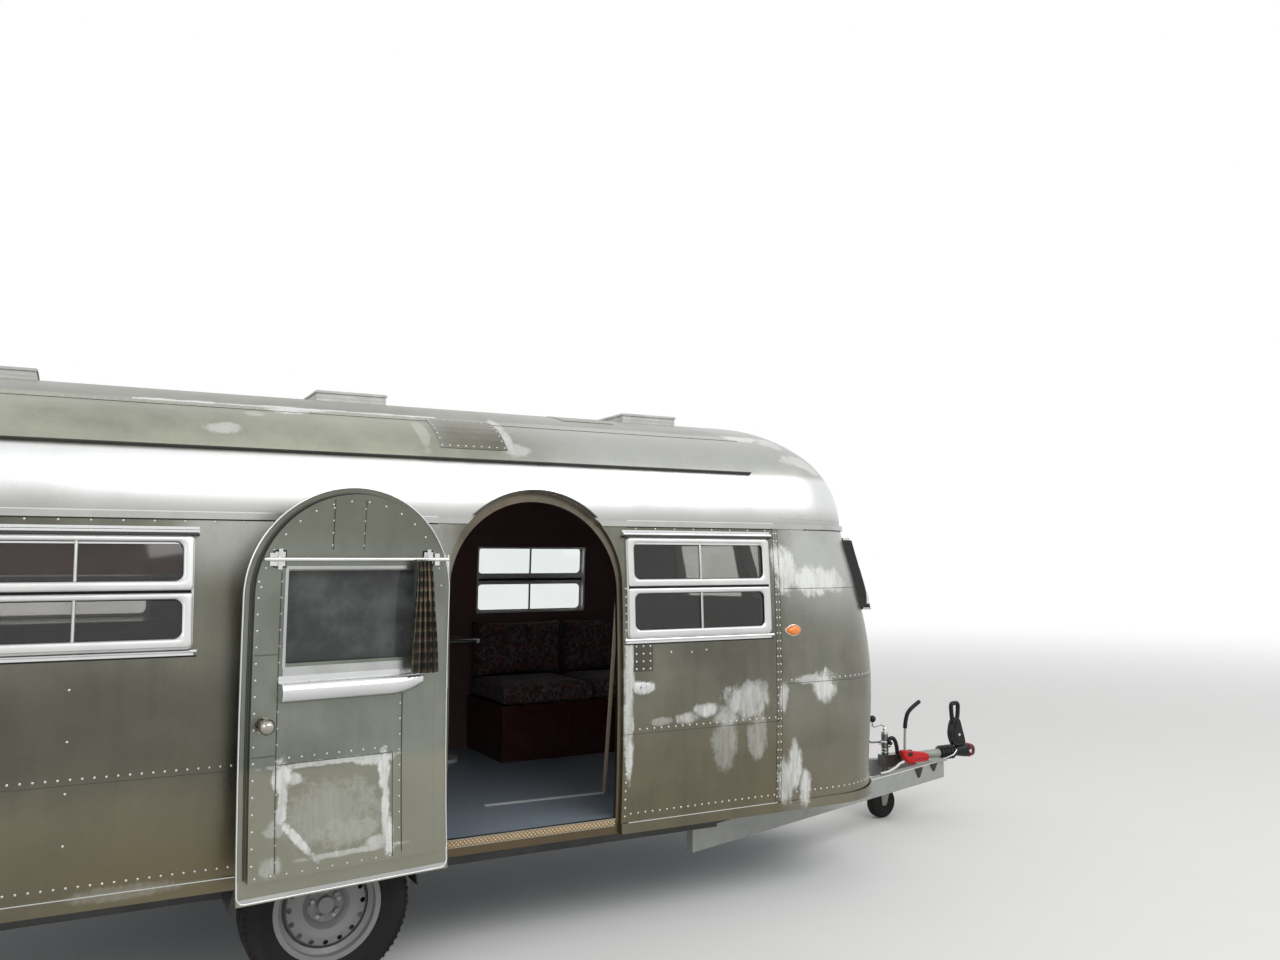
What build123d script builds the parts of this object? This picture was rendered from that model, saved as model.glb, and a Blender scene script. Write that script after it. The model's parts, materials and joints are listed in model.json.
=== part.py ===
from build123d import *
import os
from math import atan2, cos, degrees, pi, radians, sin, sqrt

# A riveted aluminium travel caravan with an arch-top entrance door, parked on its jockey wheel.
# Lengths are millimetres, angles degrees. While it is drawn, X = 0 is the wheel axle and +X points to
# the tow end, Y = 0 is the centre line with the entrance side at -Y, and Z = 0 is the ground.
# Each finished piece is then moved so that the origin is the centre of the tow ball.

# Body shell
side_half_width = 1125.0   # half of the width over the bowed sides
bow_radius = 8500.0        # the sides' bow, seen from the front
bow_z = 1150.0             # height of the widest line
body_bottom_z = 470.0
belt_z = 1944.0            # moulding between side walls and roof
roof_upstand = 24.0        # upright part of the roof above the belt
eave_radius = 480.0
crown_radius = 1900.0
wall = 40.0                # skin, insulation and lining together
rear_seam_x = -1430.0
front_seam_x = 2270.0
roof_overrun = 190.0       # the straight roof runs on past the seams
seat_gap = 0.3             # between pieces that are seated on each other
move_gap = 5.0             # between a moving piece and what it closes on

# How far the plan curve of an end stands ahead of its seam, by height
end_levels = [             # z, shift
    (body_bottom_z, 382.0),
    (890.0, 384.0),
    (1290.0, 374.0),
    (1590.0, 302.0),
    (belt_z, roof_overrun)]

# Floor and running gear
floor_top_z = 545.0
floor_thickness = 45.0
wheel_z = 340.0
wheel_y = 1000.0           # wheel centre plane from the centre line
tyre_radius = 340.0
tyre_width = 205.0
rim_radius = 220.5
rim_seat_radius = 203.0
rim_width = 178.0
rim_metal = 6.0
vent_ring_radius = 158.0
vent_hole_radius = 11.0
vent_holes = 16
wheel_bolts = 5
bolt_ring_radius = 56.0
bolt_radius = 11.0
disc_seat = 24.0           # inner face of the wheel disc, outboard of the wheel's centre plane
drum_radius = 125.0
stub_radius = 20.0
running_gap = 0.05
arch_radius = 385.0
box_metal = 6.0
box_inner_y = 862.0

# Chassis
rail_y = 830.0
rail_width = 60.0
rail_top_z = floor_top_z - floor_thickness
rail_bottom_z = 370.0
rail_rear_x = -1800.0
rail_front_x = 2050.0
cross_depth = 80.0
cross_width = 50.0
cross_places = [-1500.0, -700.0, 700.0, 1500.0]
axle_x = 175.0
axle_z = 290.0
axle_size = 90.0
arm_inner_y = 870.0
arm_thickness = 20.0
drawbar_bottom_z = 255.0
drawbar_width = 60.0
drawbar_rear_x = 1900.0
drawbar_meet_x = 4430.0
drawbar_meet_y = 62.0

# Tow end
ball_x = 4720.0
ball_z = 380.0
socket_radius = 25.2
jockey_x = 4030.0
jockey_y = 60.0
jockey_wheel_radius = 105.0
jockey_wheel_width = 60.0
jockey_trail = 45.0

# Entrance door and its opening
door_mid_x = 915.0
opening_half = 418.0
opening_arch_z = 1622.0    # centre of the opening's round top
cutout_half = 440.0
cutout_arch_z = 1648.0
surround_recess = 18.0
door_half = 435.0
door_arch_z = 1630.0
door_bottom_z = 465.0
rim_flange = 12.0          # the door's outer lip
plug_half = 400.0          # the door's inner body
plug_depth = 44.0
hinge_x = 470.0
hinge_y = -1145.0
door_angle = 172.0         # the door stands this far open
hinge_heights = [750.0, 1250.0, 1750.0]


def half_width(z):
    """Half of the body's width at height z, up to the belt."""
    return side_half_width - bow_radius + sqrt(bow_radius ** 2 - (z - bow_z) ** 2)


belt_half = half_width(belt_z)
eave_y = belt_half - eave_radius
eave_z = belt_z + roof_upstand
crown_z = eave_z - sqrt((crown_radius - eave_radius) ** 2 - eave_y ** 2)
roof_top_z = crown_z + crown_radius
roof_rise = roof_top_z - belt_z
middle_x = (front_seam_x + rear_seam_x) / 2
turn_axis = Axis((middle_x, 0, 0), (0, 0, 1))   # the rear end is the front end turned about it
pieces = {}


def on_circle(centre, radius, angle):
    """The point at an angle, in degrees, on a circle in the plane of the sketch."""
    return (centre[0] + radius * cos(radians(angle)), centre[1] + radius * sin(radians(angle)))


def roof_line(grow, foot_z):
    """Closed outline of the roof's cross-section, grown outward, in a sketch of Y and Z."""
    eave = eave_radius + grow
    crown = crown_radius + grow
    meet = degrees(atan2(eave_z - crown_z, eave_y))
    right = [(-y, z) for y, z in (
        (belt_half + grow, foot_z),
        (belt_half + grow, eave_z),
        on_circle((eave_y, eave_z), eave, meet / 2),
        on_circle((0, crown_z), crown, meet))]
    left = [(-y, z) for y, z in right]
    Line(right[0], right[1])
    ThreePointArc(right[1], right[2], right[3])
    ThreePointArc(right[3], (0, crown_z + crown), left[3])
    ThreePointArc(left[3], left[2], left[1])
    Line(left[1], left[0])
    Line(left[0], right[0])


def end_line(z, shift, grow, back_x):
    """Closed plan outline of the front end at height z, grown outward, back to the line back_x."""
    half = half_width(z)
    crown_x = front_seam_x + shift + roof_rise - crown_radius
    corner_y = half - eave_radius
    corner_x = crown_x + sqrt((crown_radius - eave_radius) ** 2 - corner_y ** 2)
    meet = degrees(atan2(corner_y, corner_x - crown_x))
    corner = eave_radius + grow
    crown = crown_radius + grow
    left = [
        (back_x, half + grow),
        (corner_x, half + grow),
        on_circle((corner_x, corner_y), corner, (90 + meet) / 2),
        on_circle((crown_x, 0), crown, meet)]
    right = [(x, -y) for x, y in left]
    Line(right[0], right[1])
    ThreePointArc(right[1], right[2], right[3])
    ThreePointArc(right[3], (crown_x + crown, 0), left[3])
    ThreePointArc(left[3], left[2], left[1])
    Line(left[1], left[0])
    Line(left[0], right[0])


def end_form(grow, back, stretch):
    """The front end as a solid, grown outward, reaching back past the seam and beyond belt and bottom."""
    last = len(end_levels) - 1
    with BuildPart() as form:
        for index, (z, shift) in enumerate(end_levels):
            level = z - stretch if index == 0 else z + stretch if index == last else z
            with BuildSketch(Plane.XY.offset(level)):
                with BuildLine():
                    end_line(z, shift, grow, front_seam_x - back)
                make_face()
        loft()
    return form.part


def roof_form(grow, foot_z, start_x, length):
    """A straight run of roof as a solid, grown outward."""
    with BuildPart() as form:
        with BuildSketch(Plane.YZ.offset(start_x)):
            with BuildLine():
                roof_line(grow, foot_z)
            make_face()
        extrude(amount=length)
    return form.part


def roof_end_form(grow):
    """The front roof end: the roof's cross-section turned a quarter about the belt."""
    with BuildPart() as form:
        with BuildSketch(Plane.YZ.offset(front_seam_x + roof_overrun)):
            with BuildLine():
                roof_line(grow, belt_z)
            make_face()
        revolve(axis=Axis((front_seam_x + roof_overrun, 0, belt_z), (0, 1, 0)), revolution_arc=90)
    return form.part


def side_slab(outer, inner, x0, x1, z0, z1):
    """A piece of the bowed entrance side between two depths, outward positive."""
    centre_y = bow_radius - side_half_width

    def at(depth, z):
        return (centre_y - sqrt((bow_radius + depth) ** 2 - (z - bow_z) ** 2), z)

    middle_z = (z0 + z1) / 2
    with BuildPart() as slab:
        with BuildSketch(Plane.YZ.offset(x0)):
            with BuildLine():
                ThreePointArc(at(outer, z0), at(outer, middle_z), at(outer, z1))
                Line(at(outer, z1), at(inner, z1))
                ThreePointArc(at(inner, z1), at(inner, middle_z), at(inner, z0))
                Line(at(inner, z0), at(outer, z0))
            make_face()
        extrude(amount=x1 - x0)
    return slab.part


def arch_block(half, arch_z, foot_z):
    """An upright arch that passes through the entrance side."""
    with BuildPart() as block:
        with BuildSketch(Plane.XZ.offset(box_inner_y)):
            with BuildLine():
                Line((door_mid_x - half, foot_z), (door_mid_x - half, arch_z))
                ThreePointArc((door_mid_x - half, arch_z), (door_mid_x, arch_z + half),
                              (door_mid_x + half, arch_z))
                Line((door_mid_x + half, arch_z), (door_mid_x + half, foot_z))
                Line((door_mid_x + half, foot_z), (door_mid_x - half, foot_z))
            make_face()
        extrude(amount=side_half_width)
    return block.part


def window_block(x0, x1, z0, z1, corner):
    """A round-cornered rectangle that passes through the entrance side."""
    with BuildPart() as block:
        with BuildSketch(Plane.XZ.offset(box_inner_y)):
            with Locations(((x0 + x1) / 2, (z0 + z1) / 2)):
                RectangleRounded(x1 - x0, z1 - z0, corner)
        extrude(amount=side_half_width)
    return block.part


def wheel_block(radius, y0, y1):
    """A round-topped block about the right wheel's axis, from y0 to y1, both counted outward."""
    with BuildPart() as block:
        with BuildSketch(Plane.XZ.offset(y0)):
            with Locations((0, wheel_z)):
                Circle(radius)
                Rectangle(2 * radius, wheel_z, align=(Align.CENTER, Align.MAX))
        extrude(amount=y1 - y0)
    return block.part


def side_face(z0, z1):
    """Y of the entrance side's skin where it stands furthest out between two heights, with the seat gap."""
    return -max(half_width(z0), half_width(z1)) - seat_gap


def keep(name, part):
    """Names a finished piece."""
    pieces[name] = part


# Side walls
side_windows = [           # x0, x1, z0, z1, ajar angle on the entrance side
    (1377.0, 2219.0, 1390.0, 1878.0, 0.0),
    (-1380.0, -553.0, 1420.0, 1864.0, 7.0)]
frame_width = 22.0
frame_proud = 10.0
sash_depth = 16.0
sash_border = 22.0
mullion = 20.0
split_gap = 14.0
glass_thickness = 4.0
frame_corner = 12.0
sash_corner = 34.0

door_cut = arch_block(cutout_half, cutout_arch_z, body_bottom_z - move_gap)
window_cuts = [window_block(x0 + frame_width, x1 - frame_width, z0 + frame_width, z1 - frame_width, frame_corner)
               for x0, x1, z0, z1, ajar in side_windows]

with BuildPart() as plain_wall:
    add(side_slab(0, -wall, rear_seam_x, front_seam_x, body_bottom_z, belt_z))
    for cut in window_cuts:
        add(cut, mode=Mode.SUBTRACT)
    add(wheel_block(arch_radius, box_inner_y, side_half_width + wall), mode=Mode.SUBTRACT)

with BuildPart() as side_wall_right:
    add(plain_wall.part)
    add(door_cut, mode=Mode.SUBTRACT)
keep("side_wall_right", side_wall_right.part)

with BuildPart() as side_wall_left:
    add(plain_wall.part.mirror(Plane.XZ))
keep("side_wall_left", side_wall_left.part)

# Roof
vent_places = [2020.0, 260.0, -1330.0]
vent_size = 356.0
vent_frame = 22.0
vent_height = 48.0
lid_thickness = 14.0

with BuildPart() as roof_centre:
    add(roof_form(0, belt_z, rear_seam_x - roof_overrun, front_seam_x - rear_seam_x + 2 * roof_overrun))
    add(roof_form(-wall, belt_z - 1, rear_seam_x - roof_overrun - 1,
                  front_seam_x - rear_seam_x + 2 * roof_overrun + 2), mode=Mode.SUBTRACT)
    add(door_cut, mode=Mode.SUBTRACT)
    for x in vent_places:
        with Locations((x, 0, roof_top_z)):
            Box(vent_size - 2 * vent_frame, vent_size - 2 * vent_frame, 4 * wall, mode=Mode.SUBTRACT)
keep("roof_centre", roof_centre.part)

with BuildPart() as front_roof_end:
    add(roof_end_form(0))
    add(roof_end_form(-wall), mode=Mode.SUBTRACT)
keep("front_roof_end", front_roof_end.part)
keep("rear_roof_end", front_roof_end.part.rotate(turn_axis, 180))

# Lower ends with their windows
end_windows = [            # heading from straight ahead, sideways offset, half width
    (0.0, 0.0, 400.0),
    (23.4, 370.0, 265.0),
    (-23.4, -370.0, 265.0)]
end_window_z0 = 1500.0
end_window_z1 = 1880.0
end_window_axis_x = 2300.0
end_frame_proud = 52.0


def end_window_block(angle, offset, half, grow, corner):
    """A round-cornered block that leaves the front end at an angle, grown all round its window."""
    heading = Vector(cos(radians(angle)), sin(radians(angle)), 0)
    across = Vector(-sin(radians(angle)), cos(radians(angle)), 0)
    origin = Vector(end_window_axis_x, 0, (end_window_z0 + end_window_z1) / 2) + across * offset
    with BuildPart() as block:
        with BuildSketch(Plane(origin=origin, x_dir=across, z_dir=heading)):
            RectangleRounded(2 * (half + grow), end_window_z1 - end_window_z0 + 2 * grow, corner)
        extrude(amount=side_half_width * 2)
    return block.part


with BuildPart() as front_end:
    add(end_form(0, 0, 0))
    add(end_form(-wall, 1, 1), mode=Mode.SUBTRACT)
    for angle, offset, half in end_windows:
        add(end_window_block(angle, offset, half, 0, frame_corner), mode=Mode.SUBTRACT)
keep("front_end", front_end.part)
keep("rear_end", front_end.part.rotate(turn_axis, 180))



def shell_piece(outer, inner, around, hole=None):
    """The shell between two forms, kept inside one block and outside another."""
    with BuildPart() as shell:
        add(outer)
        add(inner, mode=Mode.SUBTRACT)
        add(around, mode=Mode.INTERSECT)
        if hole is not None:
            add(hole, mode=Mode.SUBTRACT)
    return shell.part


def plan_ring(z0, z1, shift, proud):
    """The front half of an upright band round the body between two heights."""
    lean = max(half_width(z0), half_width(z1)) - half_width((z0 + z1) / 2)
    halves = []
    for grow in (lean + proud, lean + 2 * seat_gap):
        with BuildPart() as whole:
            with BuildSketch(Plane.XY.offset(z0)):
                with BuildLine():
                    end_line((z0 + z1) / 2, shift, grow, middle_x)
                make_face()
            extrude(amount=z1 - z0)
        halves.append(whole.part)
    with BuildPart() as band:
        add(halves[0])
        add(halves[1], mode=Mode.SUBTRACT)
    return band.part


# End window frames and glass
end_lining = end_form(-wall, 1, 1)
end_proud = end_form(end_frame_proud, 0, 0)
end_seat = end_form(seat_gap, 1, 1)
pane_face = end_form(-frame_proud, 0, 0)
pane_back = end_form(-frame_proud - glass_thickness, 1, 1)

end_frames = []
end_panes = []
for angle, offset, half in end_windows:
    hole = end_window_block(angle, offset, half, -frame_corner, frame_corner)
    seat = end_window_block(angle, offset, half, -seat_gap, frame_corner)
    lap = end_window_block(angle, offset, half, frame_corner, 2 * frame_corner)
    pane = end_window_block(angle, offset, half, -frame_corner - seat_gap, frame_corner)
    end_frames.append((shell_piece(end_proud, end_lining, seat, hole), shell_piece(end_proud, end_seat, lap, seat)))
    end_panes.append(shell_piece(pane_face, pane_back, pane))

with BuildPart() as front_window_frames:
    for liner, flange in end_frames:
        add(liner)
        add(flange)

with BuildPart() as end_window_frames:
    add(front_window_frames.part)
    add(front_window_frames.part.rotate(turn_axis, 180))
keep("end_window_frames", end_window_frames.part)

with BuildPart() as end_window_glass:
    for pane in end_panes:
        add(pane)
        add(pane.rotate(turn_axis, 180).fix())
keep("end_window_glass", end_window_glass.part)

# Belt moulding and bottom trim
belt_height = 26.0
belt_proud = 10.0
trim_height = 48.0
trim_proud = 7.0
lean_gap = 1.2             # beside faces that lean or curve

belt_half_ring = plan_ring(belt_z - belt_height / 2, belt_z + belt_height / 2, roof_overrun + 5, belt_proud)
trim_half_ring = plan_ring(body_bottom_z, body_bottom_z + trim_height, end_levels[0][1] + 4, trim_proud)

with BuildPart() as belt_moulding:
    add(belt_half_ring)
    add(belt_half_ring.rotate(turn_axis, 180))
    add(door_cut, mode=Mode.SUBTRACT)
keep("belt_moulding", belt_moulding.part)

with BuildPart() as bottom_trim:
    add(trim_half_ring)
    add(trim_half_ring.rotate(turn_axis, 180))
    add(door_cut, mode=Mode.SUBTRACT)
    with Locations((0, 0, wheel_z)):
        Cylinder(arch_radius, 3 * side_half_width, rotation=(90, 0, 0), mode=Mode.SUBTRACT)
keep("bottom_trim", bottom_trim.part)

# Drip gutters along the roof
gutter_front_x = 2170.0
gutter_angle = 32.0
gutter_reach = 16.0
gutter_thickness = 5.0

with BuildPart() as drip_gutters:
    with BuildSketch(Plane.YZ.offset(2 * middle_x - gutter_front_x)):
        place = on_circle((eave_y, eave_z), eave_radius + seat_gap + gutter_reach / 2, gutter_angle)
        for side in (-1, 1):
            with Locations(Location((side * place[0], place[1], 0), side * gutter_angle)):
                Rectangle(gutter_reach, gutter_thickness)
    extrude(amount=2 * (gutter_front_x - middle_x))

# Door surround: jambs, arch and threshold, and a rain ledge over the arch
opening_block = arch_block(opening_half, opening_arch_z, floor_top_z)
cutout_x0 = door_mid_x - cutout_half
cutout_x1 = door_mid_x + cutout_half
cutout_top_z = cutout_arch_z + cutout_half
surround_slab = side_slab(-surround_recess, -wall, cutout_x0, cutout_x1, body_bottom_z, cutout_top_z)
surround_block = arch_block(cutout_half - seat_gap, cutout_arch_z, body_bottom_z)

with BuildPart() as door_surround:
    add(surround_slab)
    add(surround_block, mode=Mode.INTERSECT)
    add(opening_block, mode=Mode.SUBTRACT)
keep("door_surround", door_surround.part)

eyebrow_metal = 8.0
eyebrow_proud = 20.0
eyebrow_slab = side_slab(eyebrow_proud, lean_gap, cutout_x0 - wall, cutout_x1 + wall,
                         belt_z + belt_height, cutout_top_z + wall)
roof_skin = roof_form(seat_gap, belt_z, rear_seam_x - roof_overrun,
                      front_seam_x - rear_seam_x + 2 * roof_overrun)
eyebrow_block = arch_block(cutout_half + eyebrow_metal, cutout_arch_z, body_bottom_z)

with BuildPart() as door_eyebrow:
    add(eyebrow_slab)
    add(eyebrow_block, mode=Mode.INTERSECT)
    add(arch_block(cutout_half, cutout_arch_z, body_bottom_z), mode=Mode.SUBTRACT)
    add(roof_skin, mode=Mode.SUBTRACT)

# Side windows: a fixed frame and two stacked sashes each
sash_gap = 0.8
frame_inside = frame_width + frame_corner


def side_frame(x0, x1, z0, z1):
    """The fixed frame of a side window, with a flange on the skin and a liner through the wall."""
    inset = frame_width + seat_gap
    lap = window_block(x0, x1, z0, z1, 2 * frame_corner)
    seat = window_block(x0 + inset, x1 - inset, z0 + inset, z1 - inset, frame_corner)
    hole = window_block(x0 + frame_inside, x1 - frame_inside, z0 + frame_inside, z1 - frame_inside, frame_corner)
    with BuildPart() as wall_round:
        add(side_slab(seat_gap, -2 * wall, x0 - wall, x1 + wall, z0 - wall, z1 + wall))
        add(seat, mode=Mode.SUBTRACT)
    with BuildPart() as frame:
        add(side_slab(frame_proud, -wall, x0 - wall, x1 + wall, z0 - wall, z1 + wall))
        add(lap, mode=Mode.INTERSECT)
        add(wall_round.part, mode=Mode.SUBTRACT)
        add(hole, mode=Mode.SUBTRACT)
    return frame.part


def sash_plane(x0, x1, z_low, z_high, ajar):
    """The plane of a sash: on the skin at its top edge, swung out at the bottom when it is ajar."""
    y_low = -half_width(z_low)
    y_high = -half_width(z_high)
    lean = atan2(y_high - y_low, z_high - z_low) + radians(ajar)
    drop = frame_proud * sin(lean)
    return Plane(origin=((x0 + x1) / 2, y_high, z_high - drop), x_dir=(1, 0, 0), z_dir=(0, -cos(lean), sin(lean)))


def sash_parts(x0, x1, z0, z1, ajar):
    """The two sashes of a window and their panes."""
    split_z = (z0 + z1) / 2
    inset = frame_inside + sash_gap
    frames = []
    panes = []
    for z_low, z_high in ((z0 + inset, split_z - sash_gap), (split_z + sash_gap, z1 - inset)):
        plane = sash_plane(x0, x1, z_low, z_high, ajar)
        width = x1 - x0 - 2 * inset
        height = z_high - z_low
        pane_width = (width - 2 * sash_border - mullion) / 2
        pane_height = height - 2 * sash_border
        places = [(side * (pane_width + mullion) / 2, -height / 2) for side in (-1, 1)]
        with BuildPart() as sash:
            with BuildSketch(plane.offset(frame_proud - sash_depth)):
                with Locations((0, -height / 2)):
                    RectangleRounded(width, height, sash_corner)
                with Locations(places):
                    RectangleRounded(pane_width, pane_height, sash_corner / 2, mode=Mode.SUBTRACT)
            extrude(amount=sash_depth)
        frames.append(sash.part)
        with BuildPart() as glass:
            with BuildSketch(plane.offset(frame_proud - sash_depth / 2)):
                with Locations(places):
                    RectangleRounded(pane_width - 2 * seat_gap, pane_height - 2 * seat_gap,
                                     sash_corner / 2 - seat_gap)
            extrude(amount=glass_thickness)
        panes.append(glass.part)
    return frames, panes


fixed_frames = []
sashes = []
sash_panes = []
for x0, x1, z0, z1, ajar in side_windows:
    frame = side_frame(x0, x1, z0, z1)
    near_frames, near_panes = sash_parts(x0, x1, z0, z1, ajar)
    far_frames, far_panes = sash_parts(x0, x1, z0, z1, 0)
    fixed_frames += [frame, frame.mirror(Plane.XZ)]
    sashes += near_frames + [sash.mirror(Plane.XZ) for sash in far_frames]
    sash_panes += near_panes + [pane.mirror(Plane.XZ) for pane in far_panes]

with BuildPart() as side_window_frames:
    for frame in fixed_frames:
        add(frame)
keep("side_window_frames", side_window_frames.part)

with BuildPart() as side_window_sashes:
    for sash in sashes:
        add(sash)
keep("side_window_sashes", side_window_sashes.part)

with BuildPart() as side_window_glass:
    for pane in sash_panes:
        add(pane)
keep("side_window_glass", side_window_glass.part)

# Rain ledges over the side windows
ledge_overhang = 12.0
ledge_height = 10.0
ledge_proud = 24.0
ledges = [side_slab(ledge_proud, seat_gap, x0 - ledge_overhang, x1 + ledge_overhang, z1 + 1, z1 + 1 + ledge_height)
          for x0, x1, z0, z1, ajar in side_windows]

with BuildPart() as rain_ledges:
    add(drip_gutters.part)
    add(door_eyebrow.part)
    for ledge in ledges:
        add(ledge)
        add(ledge.mirror(Plane.XZ))
keep("rain_ledges", rain_ledges.part)

# Roof vents
hatch = vent_size - 2 * vent_frame
vent_top_z = roof_top_z + vent_height - lid_thickness

with BuildPart() as vent_frames:
    for x in vent_places:
        with Locations((x, 0, vent_top_z)):
            Box(vent_size, vent_size, vent_height, align=(Align.CENTER, Align.CENTER, Align.MAX))
    add(roof_skin, mode=Mode.SUBTRACT)
    for x in vent_places:
        with Locations((x, 0, vent_top_z)):
            Box(hatch - 2 * seat_gap, hatch - 2 * seat_gap, vent_height + wall,
                align=(Align.CENTER, Align.CENTER, Align.MAX))
            Box(hatch - vent_frame, hatch - vent_frame, 2 * (vent_height + wall), mode=Mode.SUBTRACT)
keep("vent_frames", vent_frames.part)

lid_overlap = 6.0
for number, x in enumerate(vent_places, start=1):
    with BuildPart() as vent_lid:
        with Locations((x, 0, vent_top_z + seat_gap)):
            Box(vent_size + 2 * lid_overlap, vent_size + 2 * lid_overlap, lid_thickness,
                align=(Align.CENTER, Align.CENTER, Align.MIN))
        chamfer(vent_lid.edges().group_by(Axis.Z)[-1], lid_overlap)
    keep(f"vent_lid_{number}", vent_lid.part)

# Entrance door, drawn closed and then swung open about its hinge
plug_arch_z = opening_arch_z + opening_half - plug_half - move_gap - 1
plug_bottom_z = floor_top_z + move_gap + 1
door_window = (621.0, 1193.0, 1364.0, 1726.0)
lip_gap = 8.0
swing = (Location((hinge_x, hinge_y, 0)) * Location((0, 0, 0), (0, 0, 1), -door_angle)
         * Location((-hinge_x, -hinge_y, 0)))
door_x0 = door_mid_x - door_half
door_x1 = door_mid_x + door_half
door_top_z = door_arch_z + door_half
dx0, dx1, dz0, dz1 = door_window
flange_piece = shell_piece(side_slab(0, -rim_flange, door_x0, door_x1, door_bottom_z, door_top_z),
                           window_block(dx0, dx1, dz0, dz1, frame_corner),
                           arch_block(door_half, door_arch_z, door_bottom_z))
plug_piece = shell_piece(side_slab(-rim_flange, -plug_depth, door_x0, door_x1, plug_bottom_z, door_top_z),
                         window_block(dx0, dx1, dz0, dz1, frame_corner),
                         arch_block(plug_half, plug_arch_z, plug_bottom_z))

with BuildPart() as door_panel:
    add(flange_piece)
    add(plug_piece)
keep("door_panel", door_panel.part.moved(swing))

door_pane = side_slab(-rim_flange, -rim_flange - glass_thickness, door_x0, door_x1, dz0 - wall, dz1 + wall)
with BuildPart() as door_glass:
    add(door_pane)
    add(window_block(dx0 + seat_gap, dx1 - seat_gap, dz0 + seat_gap, dz1 - seat_gap, frame_corner),
        mode=Mode.INTERSECT)
keep("door_glass", door_glass.part.moved(swing))

# Furniture of the door's inner face
knob_x = door_x1 - 80.0
knob_z = 1134.0
knob_radius = 31.0
knob_stem = 24.0
stem_radius = 11.0
knob_face_y = -(half_width(knob_z) - plug_depth) + seat_gap

with BuildPart() as door_knob:
    with BuildSketch(Plane.XZ.offset(-knob_face_y)) as rose:
        with Locations((knob_x, knob_z)):
            Circle(knob_radius)
    extrude(amount=-4)
    with BuildSketch(Plane.XZ.offset(-knob_face_y)):
        with Locations((knob_x, knob_z)):
            Circle(stem_radius)
    extrude(amount=-knob_stem - knob_radius)
    with Locations((knob_x, knob_face_y + knob_stem + knob_radius, knob_z)):
        Sphere(knob_radius)
keep("door_knob", door_knob.part.moved(swing))

rod_z = 1770.0
rod_length = 773.0
rod_radius = 6.0
rod_stand = 30.0
rod_plate = 50.0
rod_face_y = -half_width(rod_z + rod_plate / 2) + plug_depth + seat_gap
rod_mid_x = door_mid_x - 5.0

with BuildPart() as curtain_rod:
    with Locations((rod_mid_x, rod_face_y + rod_stand, rod_z)):
        Cylinder(rod_radius, rod_length, rotation=(0, 90, 0))
    for side in (-1, 1):
        with Locations((rod_mid_x + side * (rod_length / 2 - 2 * wall / 2), rod_face_y, rod_z)):
            Box(16, rod_stand, 16, align=(Align.CENTER, Align.MIN, Align.CENTER))
            Box(22, 4, rod_plate, align=(Align.CENTER, Align.MIN, Align.CENTER))
keep("curtain_rod", curtain_rod.part.moved(swing))

tray_z0 = 1225.0
tray_height = 65.0
tray_length = 600.0
tray_depth = 50.0
tray_metal = 6.0
tray_mid_x = (dx0 + dx1) / 2
tray_face_y = -half_width(tray_z0 + tray_height) + plug_depth + seat_gap

with BuildPart() as sill_tray:
    with Locations((tray_mid_x, tray_face_y, tray_z0)):
        Box(tray_length, tray_depth, tray_height, align=(Align.CENTER, Align.MIN, Align.MIN))
    with Locations((tray_mid_x, tray_face_y + tray_metal, tray_z0 + tray_metal)):
        Box(tray_length - 2 * tray_metal, tray_depth - 2 * tray_metal, tray_height,
            align=(Align.CENTER, Align.MIN, Align.MIN), mode=Mode.SUBTRACT)
keep("sill_tray", sill_tray.part.moved(swing))

curtain_width = 110.0
curtain_depth = 36.0
curtain_bottom_z = 1300.0
curtain_x = dx0 + 10.0

with BuildPart() as curtain:
    with Locations((curtain_x, rod_face_y + rod_stand + rod_radius + seat_gap, curtain_bottom_z)):
        Box(curtain_width, curtain_depth, rod_z + 2 * rod_radius - curtain_bottom_z,
            align=(Align.CENTER, Align.MIN, Align.MIN))
keep("curtain", curtain.part.moved(swing))

# Hinges
hinge_pin_radius = 5.0
knuckle_radius = 9.0
knuckle_half = 14.0
hinge_half = 40.0
knuckle_gap = 1.0
leaf_metal = 8.0
leaf_width = 16.0
leaf_start = 14.0

with BuildPart() as hinge_brackets:
    for z in hinge_heights:
        with Locations((hinge_x, hinge_y, z)):
            Cylinder(hinge_pin_radius, 2 * hinge_half)
        for side in (-1, 1):
            z_mid = z + side * (knuckle_half + knuckle_gap + hinge_half) / 2
            tall = hinge_half - knuckle_half - knuckle_gap
            with Locations((hinge_x, hinge_y, z_mid)):
                Cylinder(knuckle_radius, tall)
            with Locations((hinge_x - leaf_start - leaf_width, hinge_y - leaf_metal / 2, z_mid)):
                Box(leaf_start + leaf_width, leaf_metal, tall, align=(Align.MIN, Align.MIN, Align.CENTER))
            reach = side_face(z_mid - tall / 2, z_mid + tall / 2) - (hinge_y - leaf_metal / 2)
            with Locations((hinge_x - leaf_start - leaf_width, hinge_y - leaf_metal / 2, z_mid)):
                Box(leaf_width, reach, tall, align=(Align.MIN, Align.MIN, Align.CENTER))
keep("hinge_brackets", hinge_brackets.part)

with BuildPart() as hinge_leaves:
    for z in hinge_heights:
        with Locations((hinge_x, hinge_y, z)):
            Cylinder(knuckle_radius, 2 * knuckle_half)
        with Locations((hinge_x, hinge_y - leaf_metal / 2, z)):
            Box(leaf_start + leaf_width, leaf_metal, 2 * knuckle_half,
                align=(Align.MIN, Align.MIN, Align.CENTER))
        reach = side_face(z - knuckle_half, z + knuckle_half) - (hinge_y - leaf_metal / 2)
        with Locations((hinge_x + leaf_start, hinge_y - leaf_metal / 2, z)):
            Box(leaf_width, reach, 2 * knuckle_half, align=(Align.MIN, Align.MIN, Align.CENTER))
        with Locations((hinge_x, hinge_y, z)):
            Cylinder(hinge_pin_radius + running_gap, 3 * knuckle_half, mode=Mode.SUBTRACT)
keep("hinge_leaves", hinge_leaves.part.moved(swing))

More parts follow.
